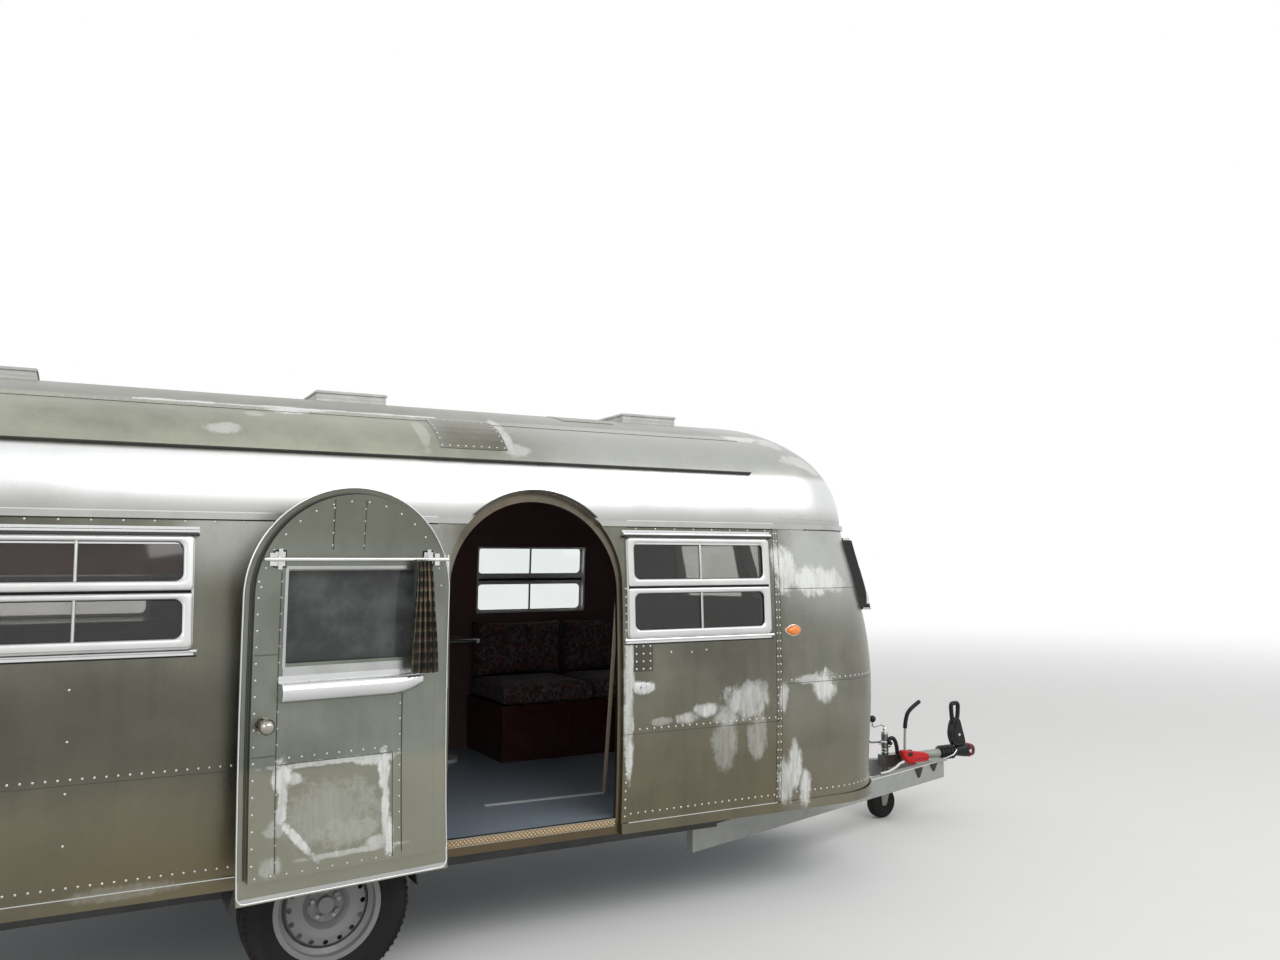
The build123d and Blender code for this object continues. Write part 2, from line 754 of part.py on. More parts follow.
# Marker and rear lamps
marker_x = 2360.0
marker_z = 1400.0
marker_length = 90.0
marker_height = 44.0
marker_proud = 26.0


def marker(x):
    """A drop-shaped side lamp on the entrance side."""
    with BuildPart() as lamp:
        with BuildSketch(Plane.XZ.offset(-side_face(marker_z - marker_height / 2, marker_z))):
            with Locations((x, marker_z)):
                Ellipse(marker_length / 2, marker_height / 2)
        extrude(amount=marker_proud, taper=35)
    return lamp.part


front_marker = marker(marker_x)
with BuildPart() as marker_lamps:
    add(front_marker)
    add(front_marker.mirror(Plane.XZ))
keep("marker_lamps", marker_lamps.part)

rear_lamp_y = 760.0
rear_lamp_z = 760.0
rear_lamp_radius = 55.0
rear_lamp_proud = 22.0
nose_crown_x = front_seam_x + end_levels[1][1] + roof_rise - crown_radius
rear_lamp_x = nose_crown_x + sqrt(crown_radius ** 2 - rear_lamp_y ** 2) + rear_lamp_proud
rear_lamp_depth = 90.0

with BuildPart() as lamp_blanks:
    for side in (-1, 1):
        with Locations((rear_lamp_x, side * rear_lamp_y, rear_lamp_z)):
            Cylinder(rear_lamp_radius, rear_lamp_depth, rotation=(0, 90, 0),
                     align=(Align.CENTER, Align.CENTER, Align.MAX))
    add(end_seat, mode=Mode.SUBTRACT)
keep("rear_lamps", lamp_blanks.part.rotate(turn_axis, 180))

# Floor and wheel boxes
with BuildPart() as floor_half:
    add(end_form(-wall - seat_gap, front_seam_x - middle_x, 0))
    with Locations((middle_x, 0, rail_top_z)):
        Box(4 * crown_radius, 4 * crown_radius, floor_thickness, align=(Align.CENTER, Align.CENTER, Align.MIN),
            mode=Mode.INTERSECT)

with BuildPart() as floor_deck:
    add(floor_half.part)
    add(floor_half.part.rotate(turn_axis, 180))
    for side in (-1, 1):
        with Locations((0, side * (box_inner_y + side_half_width) / 2, wheel_z)):
            Box(2 * (arch_radius + seat_gap), side_half_width - box_inner_y + seat_gap, 2 * wall * 6,
                mode=Mode.SUBTRACT)
keep("floor_deck", floor_deck.part)

lining_y = half_width(wheel_z + arch_radius) - wall - lean_gap
box_outer = wheel_block(arch_radius, box_inner_y, lining_y)
box_hollow = wheel_block(arch_radius - box_metal, box_inner_y + box_metal, side_half_width)
with BuildPart() as wheel_box:
    add(box_outer)
    add(box_hollow, mode=Mode.SUBTRACT)
    with Locations((0, 0, rail_bottom_z)):
        Box(4 * arch_radius, 4 * side_half_width, 4 * wheel_z, align=(Align.CENTER, Align.CENTER, Align.MAX),
            mode=Mode.SUBTRACT)

with BuildPart() as wheel_boxes:
    add(wheel_box.part)
    add(wheel_box.part.mirror(Plane.XZ))
keep("wheel_boxes", wheel_boxes.part)

# Chassis
with BuildPart() as main_rails:
    with Locations(((rail_rear_x + rail_front_x) / 2, 0, rail_bottom_z)):
        with Locations((0, rail_y - rail_width / 2 + rail_width / 2, 0), (0, -rail_y, 0)):
            Box(rail_front_x - rail_rear_x, rail_width, rail_top_z - rail_bottom_z,
                align=(Align.CENTER, Align.CENTER, Align.MIN))
keep("main_rails", main_rails.part)

with BuildPart() as cross_members:
    for x in cross_places:
        with Locations((x, 0, rail_top_z)):
            Box(cross_width, 2 * rail_y - rail_width, cross_depth, align=(Align.CENTER, Align.CENTER, Align.MAX))
keep("cross_members", cross_members.part)

with BuildPart() as axle_beam:
    with Locations((axle_x, 0, axle_z)):
        Box(axle_size, 2 * arm_inner_y, axle_size)
    with Locations((axle_x, rail_y, axle_z), (axle_x, -rail_y, axle_z)):
        Box(axle_size, rail_width, rail_bottom_z - axle_z, align=(Align.CENTER, Align.CENTER, Align.MIN))
keep("axle_beam", axle_beam.part)

stub_outer_y = wheel_y + disc_seat - 30.0
with BuildPart() as arm:
    with BuildSketch(Plane.XZ.offset(arm_inner_y)):
        with BuildLine():
            Polyline((axle_x + axle_size / 2, axle_z - axle_size / 2), (axle_x + axle_size / 2, axle_z + axle_size / 2),
                     (0, wheel_z + axle_size / 2), (-axle_size / 2, wheel_z), (0, wheel_z - axle_size / 2), close=True)
        make_face()
    extrude(amount=arm_thickness)
    with BuildSketch(Plane.XZ.offset(arm_inner_y + arm_thickness)):
        with Locations((0, wheel_z)):
            Circle(stub_radius)
    extrude(amount=stub_outer_y - arm_inner_y - arm_thickness)

with BuildPart() as suspension_arms:
    add(arm.part)
    add(arm.part.mirror(Plane.XZ))
keep("suspension_arms", suspension_arms.part)

# Drawbar
with BuildPart() as drawbar_beam:
    with BuildSketch(Plane.XY.offset(drawbar_bottom_z)):
        with BuildLine():
            Polyline((drawbar_rear_x, rail_y - drawbar_width / 2), (drawbar_meet_x, drawbar_meet_y - drawbar_width / 2),
                     (drawbar_meet_x, drawbar_meet_y + drawbar_width / 2), (drawbar_rear_x, rail_y + drawbar_width / 2),
                     close=True)
        make_face()
    extrude(amount=rail_bottom_z - drawbar_bottom_z)
keep("drawbar_left", drawbar_beam.part)
keep("drawbar_right", drawbar_beam.part.mirror(Plane.XZ))

# Overrun coupling
overrun_x0 = 4150.0
overrun_x1 = 4470.0
overrun_z = 402.0
housing_radius = 29.0
plate_thickness = 12.0
tube_inside = 190.0        # length of the tube inside the housing
tube_radius = 22.0
tube_x1 = 4650.0
bellows_folds = 7
bellows_fold = 20.0
bellows_radius = 50.0
bellows_valley = 39.0
bellows_x1 = overrun_x1 + seat_gap + bellows_folds * bellows_fold

with BuildPart() as overrun_housing:
    with Locations((overrun_x0, 0, rail_bottom_z)):
        Box(drawbar_meet_x - overrun_x0, 2 * (drawbar_meet_y + drawbar_width), plate_thickness,
            align=(Align.MIN, Align.CENTER, Align.MIN))
    with Locations((overrun_x0, 0, overrun_z)):
        Cylinder(housing_radius, overrun_x1 - overrun_x0, rotation=(0, 90, 0),
                 align=(Align.CENTER, Align.CENTER, Align.MIN))
    with Locations((overrun_x1, 0, overrun_z)):
        Cylinder(tube_radius + seat_gap, 2 * tube_inside + 20, rotation=(0, 90, 0), mode=Mode.SUBTRACT)
keep("overrun_housing", overrun_housing.part)

with BuildPart() as overrun_tube:
    with Locations((overrun_x1 - tube_inside, 0, overrun_z)):
        Cylinder(tube_radius, tube_x1 - overrun_x1 + tube_inside, rotation=(0, 90, 0),
                 align=(Align.CENTER, Align.CENTER, Align.MIN))
keep("overrun_tube", overrun_tube.part)

with BuildPart() as overrun_bellows:
    with BuildSketch(Plane.XZ):
        with BuildLine():
            points = []
            for fold in range(bellows_folds):
                x = overrun_x1 + seat_gap + fold * bellows_fold
                points += [(x, overrun_z + bellows_valley), (x + bellows_fold / 2, overrun_z + bellows_radius)]
            points += [(bellows_x1, overrun_z + bellows_valley), (bellows_x1, overrun_z + tube_radius + seat_gap),
                       (overrun_x1 + seat_gap, overrun_z + tube_radius + seat_gap)]
            Polyline(points, close=True)
        make_face()
    revolve(axis=Axis((0, 0, overrun_z), (1, 0, 0)))
keep("overrun_bellows", overrun_bellows.part)

# Coupling head over the tow ball
head_half = 42.0
head_top_z = ball_z + 56.0
head_front_x = 4806.0
nose_corner = 30.0
socket_depth = 18.0
socket_above = 4.0
collar_radius = 33.0
collar_x1 = 4684.0

with BuildPart() as coupling_head:
    with BuildSketch(Plane.XY.offset(ball_z - socket_depth)):
        with Locations((bellows_x1 + seat_gap, 0)):
            Rectangle(head_front_x - bellows_x1 - seat_gap, 2 * head_half, align=(Align.MIN, Align.CENTER))
        fillet(vertices().group_by(Axis.X)[-1], nose_corner)
    extrude(amount=head_top_z - ball_z + socket_depth)
    with Locations((bellows_x1 + seat_gap, 0, overrun_z)):
        Cylinder(collar_radius, collar_x1 - bellows_x1 - seat_gap, rotation=(0, 90, 0),
                 align=(Align.CENTER, Align.CENTER, Align.MIN))
    with Locations((ball_x, 0, ball_z - socket_depth)):
        Cylinder(socket_radius, socket_depth + socket_above, align=(Align.CENTER, Align.CENTER, Align.MIN),
                 mode=Mode.SUBTRACT)
    with Locations((ball_x, 0, ball_z + socket_above)):
        Sphere(socket_radius, mode=Mode.SUBTRACT)
    with Locations((bellows_x1, 0, overrun_z)):
        Cylinder(tube_radius + seat_gap, tube_x1 - bellows_x1, rotation=(0, 90, 0),
                 align=(Align.CENTER, Align.CENTER, Align.MIN), mode=Mode.SUBTRACT)
keep("coupling_head", coupling_head.part)

# Coupling handle: a lever with a hand loop at its top
handle_outline = [         # x, z
    (4624, head_top_z + seat_gap),
    (4572, 500),
    (4570, 560),
    (4594, 622),
    (4584, 700),
    (4590, 735),
    (4605, 748),
    (4662, 748),
    (4680, 736),
    (4686, 680),
    (4682, 622),
    (4697, 590),
    (4714, 470),
    (4714, head_top_z + seat_gap),
]
handle_thickness = 44.0
loop_x = 4636.0
loop_z0 = 638.0
loop_z1 = 726.0
loop_width = 34.0

with BuildPart() as coupling_handle:
    with BuildSketch(Plane.XZ):
        with BuildLine():
            Polyline(handle_outline, close=True)
        make_face()
        with Locations((loop_x, (loop_z0 + loop_z1) / 2)):
            SlotOverall(loop_z1 - loop_z0, loop_width, rotation=90, mode=Mode.SUBTRACT)
    extrude(amount=handle_thickness / 2, both=True)
keep("coupling_handle", coupling_handle.part)

# Handbrake: lever in the slot of its cover
lever_y = -70.0
lever_points = [           # x, z
    (4092, 403),
    (4099, 627),
    (4123, 714),
    (4235, 788),
]
lever_radius = 8.0
grip_radius = 13.0
lever_bend = 40.0
cover_width = 44.0
cover_outline = [          # x, z
    (4062, rail_bottom_z + plate_thickness + seat_gap),
    (4052, 430),
    (4064, 462),
    (4130, 452),
    (4272, 430),
    (4300, 404),
    (4290, rail_bottom_z + plate_thickness + seat_gap),
]
slot_x0 = 4078.0
slot_x1 = 4142.0
lever_foot_z = lever_points[0][1] - seat_gap

with BuildPart() as handbrake_lever:
    with BuildLine():
        shaft_line = Line((lever_points[0][0], lever_y, lever_points[0][1]),
                          (lever_points[1][0], lever_y, lever_points[1][1]))
    with BuildSketch(Plane(origin=shaft_line @ 0, z_dir=(0, 0, 1))):
        Circle(lever_radius)
    sweep(path=shaft_line)
    with BuildLine():
        grip_line = FilletPolyline([(x, lever_y, z) for x, z in lever_points[1:]], radius=lever_bend)
    with BuildSketch(Plane(origin=grip_line @ 0, z_dir=grip_line % 0)):
        Circle(grip_radius)
    sweep(path=grip_line)
keep("handbrake_lever", handbrake_lever.part)

with BuildPart() as lever_cover:
    with BuildSketch(Plane.XZ.offset(-lever_y)):
        with BuildLine():
            Polyline(cover_outline, close=True)
        make_face()
    extrude(amount=cover_width / 2, both=True)
    with Locations(((slot_x0 + slot_x1) / 2, lever_y, lever_foot_z)):
        Box(slot_x1 - slot_x0, 2 * (lever_radius + lean_gap), 2 * housing_radius + 60,
            align=(Align.CENTER, Align.CENTER, Align.MIN), mode=Mode.SUBTRACT)
keep("lever_cover", lever_cover.part)

# Jockey wheel
clamp_z0 = 340.0
clamp_half = 35.0
clamp_z1 = 420.0
post_radius = 24.0
shaft_radius = 20.0
post_bottom_z = 300.0
post_top_z = 575.0
fork_top_z = 230.0
fork_half = 36.0
fork_metal = 5.0
jockey_axle_radius = 8.0
crank_stem = 8.0
crank_rise = 50.0
crank_reach = 108.0
knob_ball = 24.0
clamp_handle = [           # x, z
    (4012, 508),
    (3905, 512),
    (3845, 556),
]

with BuildPart() as jockey_post:
    with Locations((overrun_x0, jockey_y, clamp_z0)):
        Box(overrun_x0 - jockey_x + clamp_half, 2 * clamp_half, clamp_z1 - clamp_z0,
            align=(Align.MAX, Align.CENTER, Align.MIN))
    with Locations((jockey_x, jockey_y, post_bottom_z)):
        Cylinder(post_radius, post_top_z - post_bottom_z, align=(Align.CENTER, Align.CENTER, Align.MIN))
    with BuildLine():
        handle_line = FilletPolyline([(x, jockey_y, z) for x, z in clamp_handle], radius=25)
    with BuildSketch(Plane(origin=handle_line @ 0, z_dir=handle_line % 0)):
        Circle(6)
    sweep(path=handle_line)
    with Locations((jockey_x, jockey_y, post_bottom_z)):
        Cylinder(shaft_radius + running_gap, 2 * (post_top_z - post_bottom_z - 60), mode=Mode.SUBTRACT)
keep("jockey_post", jockey_post.part)

with BuildPart() as jockey_crank:
    with Locations((jockey_x, jockey_y, post_top_z + seat_gap)):
        Cylinder(crank_stem, crank_rise, align=(Align.CENTER, Align.CENTER, Align.MIN))
    with Locations((jockey_x + crank_stem, jockey_y, post_top_z + crank_rise)):
        Box(crank_reach + 2 * crank_stem, 2 * crank_stem, crank_stem, align=(Align.MAX, Align.CENTER, Align.MAX))
    with Locations((jockey_x - crank_reach, jockey_y, post_top_z + crank_rise - 1)):
        Cylinder(6, 48, align=(Align.CENTER, Align.CENTER, Align.MIN))
    with Locations((jockey_x - crank_reach, jockey_y, post_top_z + crank_rise + 46)):
        Sphere(knob_ball)
keep("jockey_crank", jockey_crank.part)

with BuildPart() as jockey_fork:
    with Locations((jockey_x, jockey_y, fork_top_z)):
        Cylinder(shaft_radius, post_top_z - 100 - fork_top_z, align=(Align.CENTER, Align.CENTER, Align.MIN))
    with Locations((jockey_x - jockey_trail / 2, jockey_y, fork_top_z)):
        Box(jockey_trail + 60, 2 * fork_half, 12, align=(Align.CENTER, Align.CENTER, Align.MIN))
    for side in (-1, 1):
        with BuildSketch(Plane.XZ.offset(-(jockey_y + side * (fork_half - fork_metal / 2)) - fork_metal / 2)):
            with BuildLine():
                Polyline((jockey_x + 30, fork_top_z + 12), (jockey_x - jockey_trail - 30, fork_top_z + 12),
                         (jockey_x - jockey_trail - 18, jockey_wheel_radius - 20),
                         (jockey_x - jockey_trail + 18, jockey_wheel_radius - 20), close=True)
            make_face()
        extrude(amount=fork_metal)
    with Locations((jockey_x - jockey_trail, jockey_y, jockey_wheel_radius)):
        Cylinder(jockey_axle_radius, 2 * fork_half, rotation=(90, 0, 0))
keep("jockey_fork", jockey_fork.part)

with BuildPart() as jockey_wheel:
    with Locations((jockey_x - jockey_trail, jockey_y, jockey_wheel_radius)):
        Cylinder(jockey_wheel_radius, jockey_wheel_width, rotation=(90, 0, 0))
        Cylinder(jockey_axle_radius + running_gap, 2 * jockey_wheel_width, rotation=(90, 0, 0), mode=Mode.SUBTRACT)
    fillet(jockey_wheel.edges().filter_by(GeomType.CIRCLE).sort_by(SortBy.RADIUS)[-2:], 14)
keep("jockey_wheel", jockey_wheel.part)

# Road wheels, drawn about the Y axis with +Y outboard
rim_half = rim_width / 2
flange_edge = 6.0
well_radius = 182.0
tyre_shoulder = 30.0
bead = rim_half - flange_edge - seat_gap

with BuildPart() as tyre:
    with BuildSketch(Plane.YZ):
        with BuildLine():
            Polyline((-bead, rim_seat_radius + seat_gap), (-bead, rim_radius + 2), (-tyre_width / 2, rim_radius + 30),
                     (-tyre_width / 2, tyre_radius - tyre_shoulder), (-tyre_width / 2 + tyre_shoulder, tyre_radius),
                     (tyre_width / 2 - tyre_shoulder, tyre_radius), (tyre_width / 2, tyre_radius - tyre_shoulder),
                     (tyre_width / 2, rim_radius + 30), (bead, rim_radius + 2), (bead, rim_seat_radius + seat_gap),
                     close=True)
        make_face()
    revolve(axis=Axis.Y)

disc_profile = [           # outboard distance, radius
    (disc_seat, 0.0), (disc_seat, 74.0), (50.0, 96.0), (56.0, 128.0), (48.0, 160.0), (22.0, 176.0)]
with BuildPart() as wheel:
    with BuildSketch(Plane.YZ):
        with BuildLine():
            Polyline((-rim_half, rim_radius), (-rim_half + flange_edge, rim_radius),
                     (-rim_half + flange_edge, rim_seat_radius), (-50, rim_seat_radius), (-40, well_radius),
                     (40, well_radius), (50, rim_seat_radius), (rim_half - flange_edge, rim_seat_radius),
                     (rim_half - flange_edge, rim_radius), (rim_half, rim_radius),
                     (rim_half, rim_seat_radius - rim_metal), (52, rim_seat_radius - rim_metal),
                     (42, well_radius - rim_metal), (-42, well_radius - rim_metal),
                     (-52, rim_seat_radius - rim_metal), (-rim_half, rim_seat_radius - rim_metal), close=True)
        make_face()
        with BuildLine():
            Polyline(disc_profile + [(a + rim_metal, r) for a, r in reversed(disc_profile)], close=True)
        make_face()
    revolve(axis=Axis.Y)
    with BuildSketch(Plane.XZ):
        with PolarLocations(vent_ring_radius - 8, vent_holes):
            Circle(vent_hole_radius)
    extrude(amount=-rim_half, mode=Mode.SUBTRACT)
    with Locations((0, disc_seat + rim_metal, 0)):
        with Locations(Location((0, 0, 0), (1, 0, 0), -90)):
            Cylinder(32, 26, align=(Align.CENTER, Align.CENTER, Align.MIN))
            with PolarLocations(bolt_ring_radius, wheel_bolts):
                Cylinder(bolt_radius, 16, align=(Align.CENTER, Align.CENTER, Align.MIN))

drum_depth = 84.0
with BuildPart() as drum:
    with BuildSketch(Plane.XZ.offset(-disc_seat)):
        Circle(drum_radius)
    extrude(amount=drum_depth)
    with BuildSketch(Plane.XZ.offset(-disc_seat + 28)):
        Circle(stub_radius + running_gap)
    extrude(amount=drum_depth, mode=Mode.SUBTRACT)

hub_sides = {"left": Location((0, wheel_y, wheel_z)),
             "right": Location((0, -wheel_y, wheel_z), (0, 0, 1), 180)}
for side, place in hub_sides.items():
    keep(f"tyre_{side}", tyre.part.moved(place))
    keep(f"wheel_{side}", wheel.part.moved(place))
    keep(f"brake_drum_{side}", drum.part.moved(place))

# Inside
bench_x0 = 1340.0
bench_x1 = 2600.0
bench_front_y = 430.0
bench_back_y = 1070.0
seat_z = 880.0
cushion_thickness = 120.0
back_height = 360.0
back_thickness = 130.0

with BuildPart() as bench:
    with Locations((bench_x0, bench_front_y, floor_top_z)):
        Box(bench_x1 - bench_x0, bench_back_y - bench_front_y - 10, seat_z - floor_top_z,
            align=(Align.MIN, Align.MIN, Align.MIN))
keep("bench", bench.part)

with BuildPart() as bench_cushions:
    with Locations((bench_x0, bench_front_y, seat_z + seat_gap)):
        Box(bench_x1 - bench_x0, bench_back_y - bench_front_y - 20, cushion_thickness,
            align=(Align.MIN, Align.MIN, Align.MIN))
    with Locations((bench_x0, bench_back_y - 10, seat_z + cushion_thickness + 2 * seat_gap)):
        Box(bench_x1 - bench_x0, back_thickness, back_height, align=(Align.MIN, Align.MAX, Align.MIN))
keep("bench_cushions", bench_cushions.part)

table_top_z = 1290.0
with BuildPart() as table:
    with Locations((1000, 700, table_top_z)):
        Box(420, 420, 25, align=(Align.CENTER, Align.CENTER, Align.MAX))
    with Locations((1000, 700, floor_top_z)):
        Cylinder(28, table_top_z - floor_top_z - 25, align=(Align.CENTER, Align.CENTER, Align.MIN))
        Cylinder(150, 20, align=(Align.CENTER, Align.CENTER, Align.MIN))
keep("table", table.part)

with BuildPart() as cabinet:
    with Locations((-1300, 560, floor_top_z)):
        Box(900, 500, 900, align=(Align.MIN, Align.MIN, Align.MIN))
keep("cabinet", cabinet.part)

os.makedirs("parts", exist_ok=True)
to_ball = Location((-ball_x, 0, -ball_z))
for name, part in pieces.items():
    placed = part.moved(to_ball)
    placed.label = name
    export_step(placed, f"parts/{name}.step")
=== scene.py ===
# A riveted aluminium travel caravan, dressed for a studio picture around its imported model.
import json
from math import atan2, ceil, copysign, cos, hypot, pi, radians, sin, sqrt

import bmesh
import bpy
import numpy as np
from mathutils import Matrix, Vector
from mathutils.bvhtree import BVHTree


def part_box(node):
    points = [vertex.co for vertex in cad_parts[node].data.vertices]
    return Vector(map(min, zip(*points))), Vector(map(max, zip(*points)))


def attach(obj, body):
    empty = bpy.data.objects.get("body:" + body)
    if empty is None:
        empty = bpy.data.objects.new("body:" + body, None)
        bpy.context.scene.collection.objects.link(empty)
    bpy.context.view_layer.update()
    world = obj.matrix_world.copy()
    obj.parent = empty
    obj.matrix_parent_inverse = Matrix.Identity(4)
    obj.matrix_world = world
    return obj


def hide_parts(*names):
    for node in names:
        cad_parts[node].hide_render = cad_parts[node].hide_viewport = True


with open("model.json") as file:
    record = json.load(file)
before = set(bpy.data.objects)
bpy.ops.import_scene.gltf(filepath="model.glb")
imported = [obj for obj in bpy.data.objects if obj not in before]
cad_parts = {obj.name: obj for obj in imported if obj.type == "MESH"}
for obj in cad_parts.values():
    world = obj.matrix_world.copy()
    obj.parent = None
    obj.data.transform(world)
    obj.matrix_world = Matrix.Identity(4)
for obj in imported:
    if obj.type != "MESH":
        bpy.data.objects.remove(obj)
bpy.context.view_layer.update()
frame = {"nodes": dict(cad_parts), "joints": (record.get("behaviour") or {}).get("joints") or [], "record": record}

bl_info = {
    "name": "Travel caravan dresser",
    "version": (1, 0, 0),
    "blender": (4, 5, 0),
    "location": "View3D > Sidebar > Caravan",
    "description": "Finishes, rivets, cloth and small pieces for the packed travel caravan",
    "category": "Object",
}

MM = 0.001
LONGEST_STEP = 0.2
DOOR_MIDDLE = 915
ARCH_HEIGHT = 1630
BELT_LINE = 1928
BELT_TOP = 1959
SKIRT_LINE = 521
RUBBED = (0.70, 0.71, 0.69)
NODES = frame["nodes"]
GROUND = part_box("tyre_right")[0].z
DOOR_TURN = next(j for j in frame["joints"] if j["child"] == "entrance_door")


def middle_of(node):
    """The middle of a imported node's box."""
    low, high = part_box(node)
    return (low + high) / 2


AXLE_X = middle_of("tyre_right").x


def up(z):
    """A height above the ground, in the row's frame."""
    return GROUND + z


def ahead(x):
    """A place ahead of the wheel axle, in the row's frame."""
    return AXLE_X + x


def math_method(operation, swapped=False):
    """A method that feeds a value, and the other ones given, to a maths node."""
    def method(value, *others):
        return value.maths(operation, *((*others, value) if swapped else (value, *others)))
    return method


class Value:
    """A socket of a shader graph that can be used in an expression."""

    def __init__(self, graph, socket):
        self.graph = graph
        self.socket = socket

    def maths(self, operation, *values):
        return self.graph.node("ShaderNodeMath", {"operation": operation}, dict(enumerate(values)))

    __add__ = math_method("ADD")
    __radd__ = math_method("ADD", swapped=True)
    __sub__ = math_method("SUBTRACT")
    __rsub__ = math_method("SUBTRACT", swapped=True)
    __mul__ = math_method("MULTIPLY")
    __rmul__ = math_method("MULTIPLY", swapped=True)
    __truediv__ = math_method("DIVIDE")
    __pow__ = math_method("POWER")
    __gt__ = math_method("GREATER_THAN")
    __lt__ = math_method("LESS_THAN")
    __abs__ = math_method("ABSOLUTE")
    lowest = math_method("MINIMUM")
    highest = math_method("MAXIMUM")
    wave = math_method("SINE")
    fraction = math_method("FRACT")

    def clamped(self):
        return self.graph.node("ShaderNodeClamp", {}, {0: self})

    def step(self, low, high):
        """0 below low, 1 above high, smooth between."""
        return self.graph.node("ShaderNodeMapRange", {"interpolation_type": "SMOOTHSTEP"},
                               {0: self, 1: low, 2: high})


class Graph:
    """The node graph of one material or world."""

    def __init__(self, name, kind="materials"):
        self.owner = getattr(bpy.data, kind).new(name)
        self.owner.use_nodes = True
        self.tree = self.owner.node_tree
        self.shader = self.tree.nodes["Background" if kind == "worlds" else "Principled BSDF"]

    def node(self, kind, settings, values, out=0):
        """Adds a node: its settings first, then the values or links of its sockets."""
        made = self.tree.nodes.new(kind)
        for name, setting in settings.items():
            setattr(made, name, setting)
        for name, value in values.items():
            self.feed(made.inputs[name], value)
        return Value(self, made.outputs[out])

    def feed(self, socket, value):
        if isinstance(value, Value):
            self.tree.links.new(value.socket, socket)
        elif hasattr(value, "__len__") and socket.type == "RGBA" and len(value) == 3:
            socket.default_value = (*value, 1)
        else:
            socket.default_value = value

    def place(self):
        """The point on the piece, in metres in the row's frame."""
        return self.node("ShaderNodeTexCoord", {}, {}, "Object")

    def split(self, vector):
        return [self.node("ShaderNodeSeparateXYZ", {}, {0: vector}, axis) for axis in "XYZ"]

    def scaled(self, vector, sizes):
        return self.node("ShaderNodeVectorMath", {"operation": "MULTIPLY"}, {0: vector, 1: sizes})

    def noise(self, vector, scale, detail, roughness):
        return self.node("ShaderNodeTexNoise", {},
                         {"Vector": vector, "Scale": scale, "Detail": detail, "Roughness": roughness})

    def mix(self, mask, a, b):
        """Colour a where the mask is 0 and b where it is 1."""
        return self.node("ShaderNodeMix", {"data_type": "RGBA"}, {0: mask, 6: a, 7: b}, 2)

    def bump(self, height, strength, distance):
        return self.node("ShaderNodeBump", {}, {"Strength": strength, "Distance": distance, "Height": height})

    def seen(self):
        """1 for the rays that show a surface: those of the camera, and reflected or passed by glass."""
        rays = [self.node("ShaderNodeLightPath", {}, {}, f"Is {kind} Ray")
                for kind in ("Camera", "Glossy", "Transmission")]
        return rays[0].highest(rays[1]).highest(rays[2])

    def finish(self, **sockets):
        """Sets or links the shader's sockets, named with _ for a space."""
        for name, value in sockets.items():
            self.feed(self.shader.inputs[name.replace("_", " ")], value)
        return self.owner


def band(value, low, high, soft):
    """1 between two values, with soft edges."""
    return value.step(low - soft, low + soft) * (1 - value.step(high - soft, high + soft))


def times(colour, *factors):
    """A colour made lighter or darker, by one factor or by one for each part of it."""
    factors = factors if len(factors) == 3 else factors * 3
    return tuple(min(part * factor, 1) for part, factor in zip(colour, factors))


def made_piece(name, mesh, material, body, slot):
    """A new piece from a mesh, riding on a body."""
    mesh.materials.append(material)
    piece = bpy.data.objects.new(name, mesh)
    bpy.context.scene.collection.objects.link(piece)
    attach(piece, body)
    return piece


def turns(count):
    """Angles at an even step round a full turn."""
    return [2 * pi * k / count for k in range(count)]


def circle(centre, side, other, radius, sides):
    """Points round a centre, from two directions across."""
    return [centre + (side * cos(turn) + other * sin(turn)) * radius for turn in turns(sides)]


class FinishSettings(bpy.types.PropertyGroup):
    """Colours of the caravan's finishes."""

    metal: bpy.props.FloatVectorProperty(name="Aged metal", description="Colour of the dull aluminium sheet",
                                         subtype="COLOR", size=3, default=(0.158, 0.157, 0.126))
    bright: bpy.props.FloatVectorProperty(name="Bright metal", description="Colour of polished aluminium",
                                          subtype="COLOR", size=3, default=(0.72, 0.73, 0.73))
    frames: bpy.props.FloatVectorProperty(name="Window frames", description="Colour of the window frames",
                                          subtype="COLOR", size=3, default=(0.66, 0.67, 0.66))
    lining: bpy.props.FloatVectorProperty(name="Lining", description="Colour of the cabin's walls and ceiling",
                                          subtype="COLOR", size=3, default=(0.095, 0.040, 0.036))
    wood: bpy.props.FloatVectorProperty(name="Wood", description="Colour of the red-brown furniture",
                                        subtype="COLOR", size=3, default=(0.045, 0.008, 0.007))
    red: bpy.props.FloatVectorProperty(name="Red plastic", description="Colour of the handbrake's cover",
                                       subtype="COLOR", size=3, default=(0.60, 0.008, 0.010))
    amber: bpy.props.FloatVectorProperty(name="Amber lens", description="Colour of the marker lamps",
                                         subtype="COLOR", size=3, default=(0.90, 0.22, 0.01))


class DetailSettings(bpy.types.PropertyGroup):
    """Sizes of the small pieces."""

    rivet_pitch: bpy.props.FloatProperty(name="Rivet pitch", description="Distance from rivet to rivet along a seam",
                                         subtype="DISTANCE", default=0.040)
    rivet_radius: bpy.props.FloatProperty(name="Rivet radius", description="Radius of a rivet's head",
                                          subtype="DISTANCE", default=0.0055)
    rivet_height: bpy.props.FloatProperty(name="Rivet height", description="Height of a rivet's head",
                                          subtype="DISTANCE", default=0.0022)


def finishes():
    return bpy.context.scene.caravan_finishes


def details():
    return bpy.context.scene.caravan_details


def dress(name, material):
    """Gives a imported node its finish."""
    mesh = NODES[name].data
    mesh.materials.clear()
    mesh.materials.append(material)


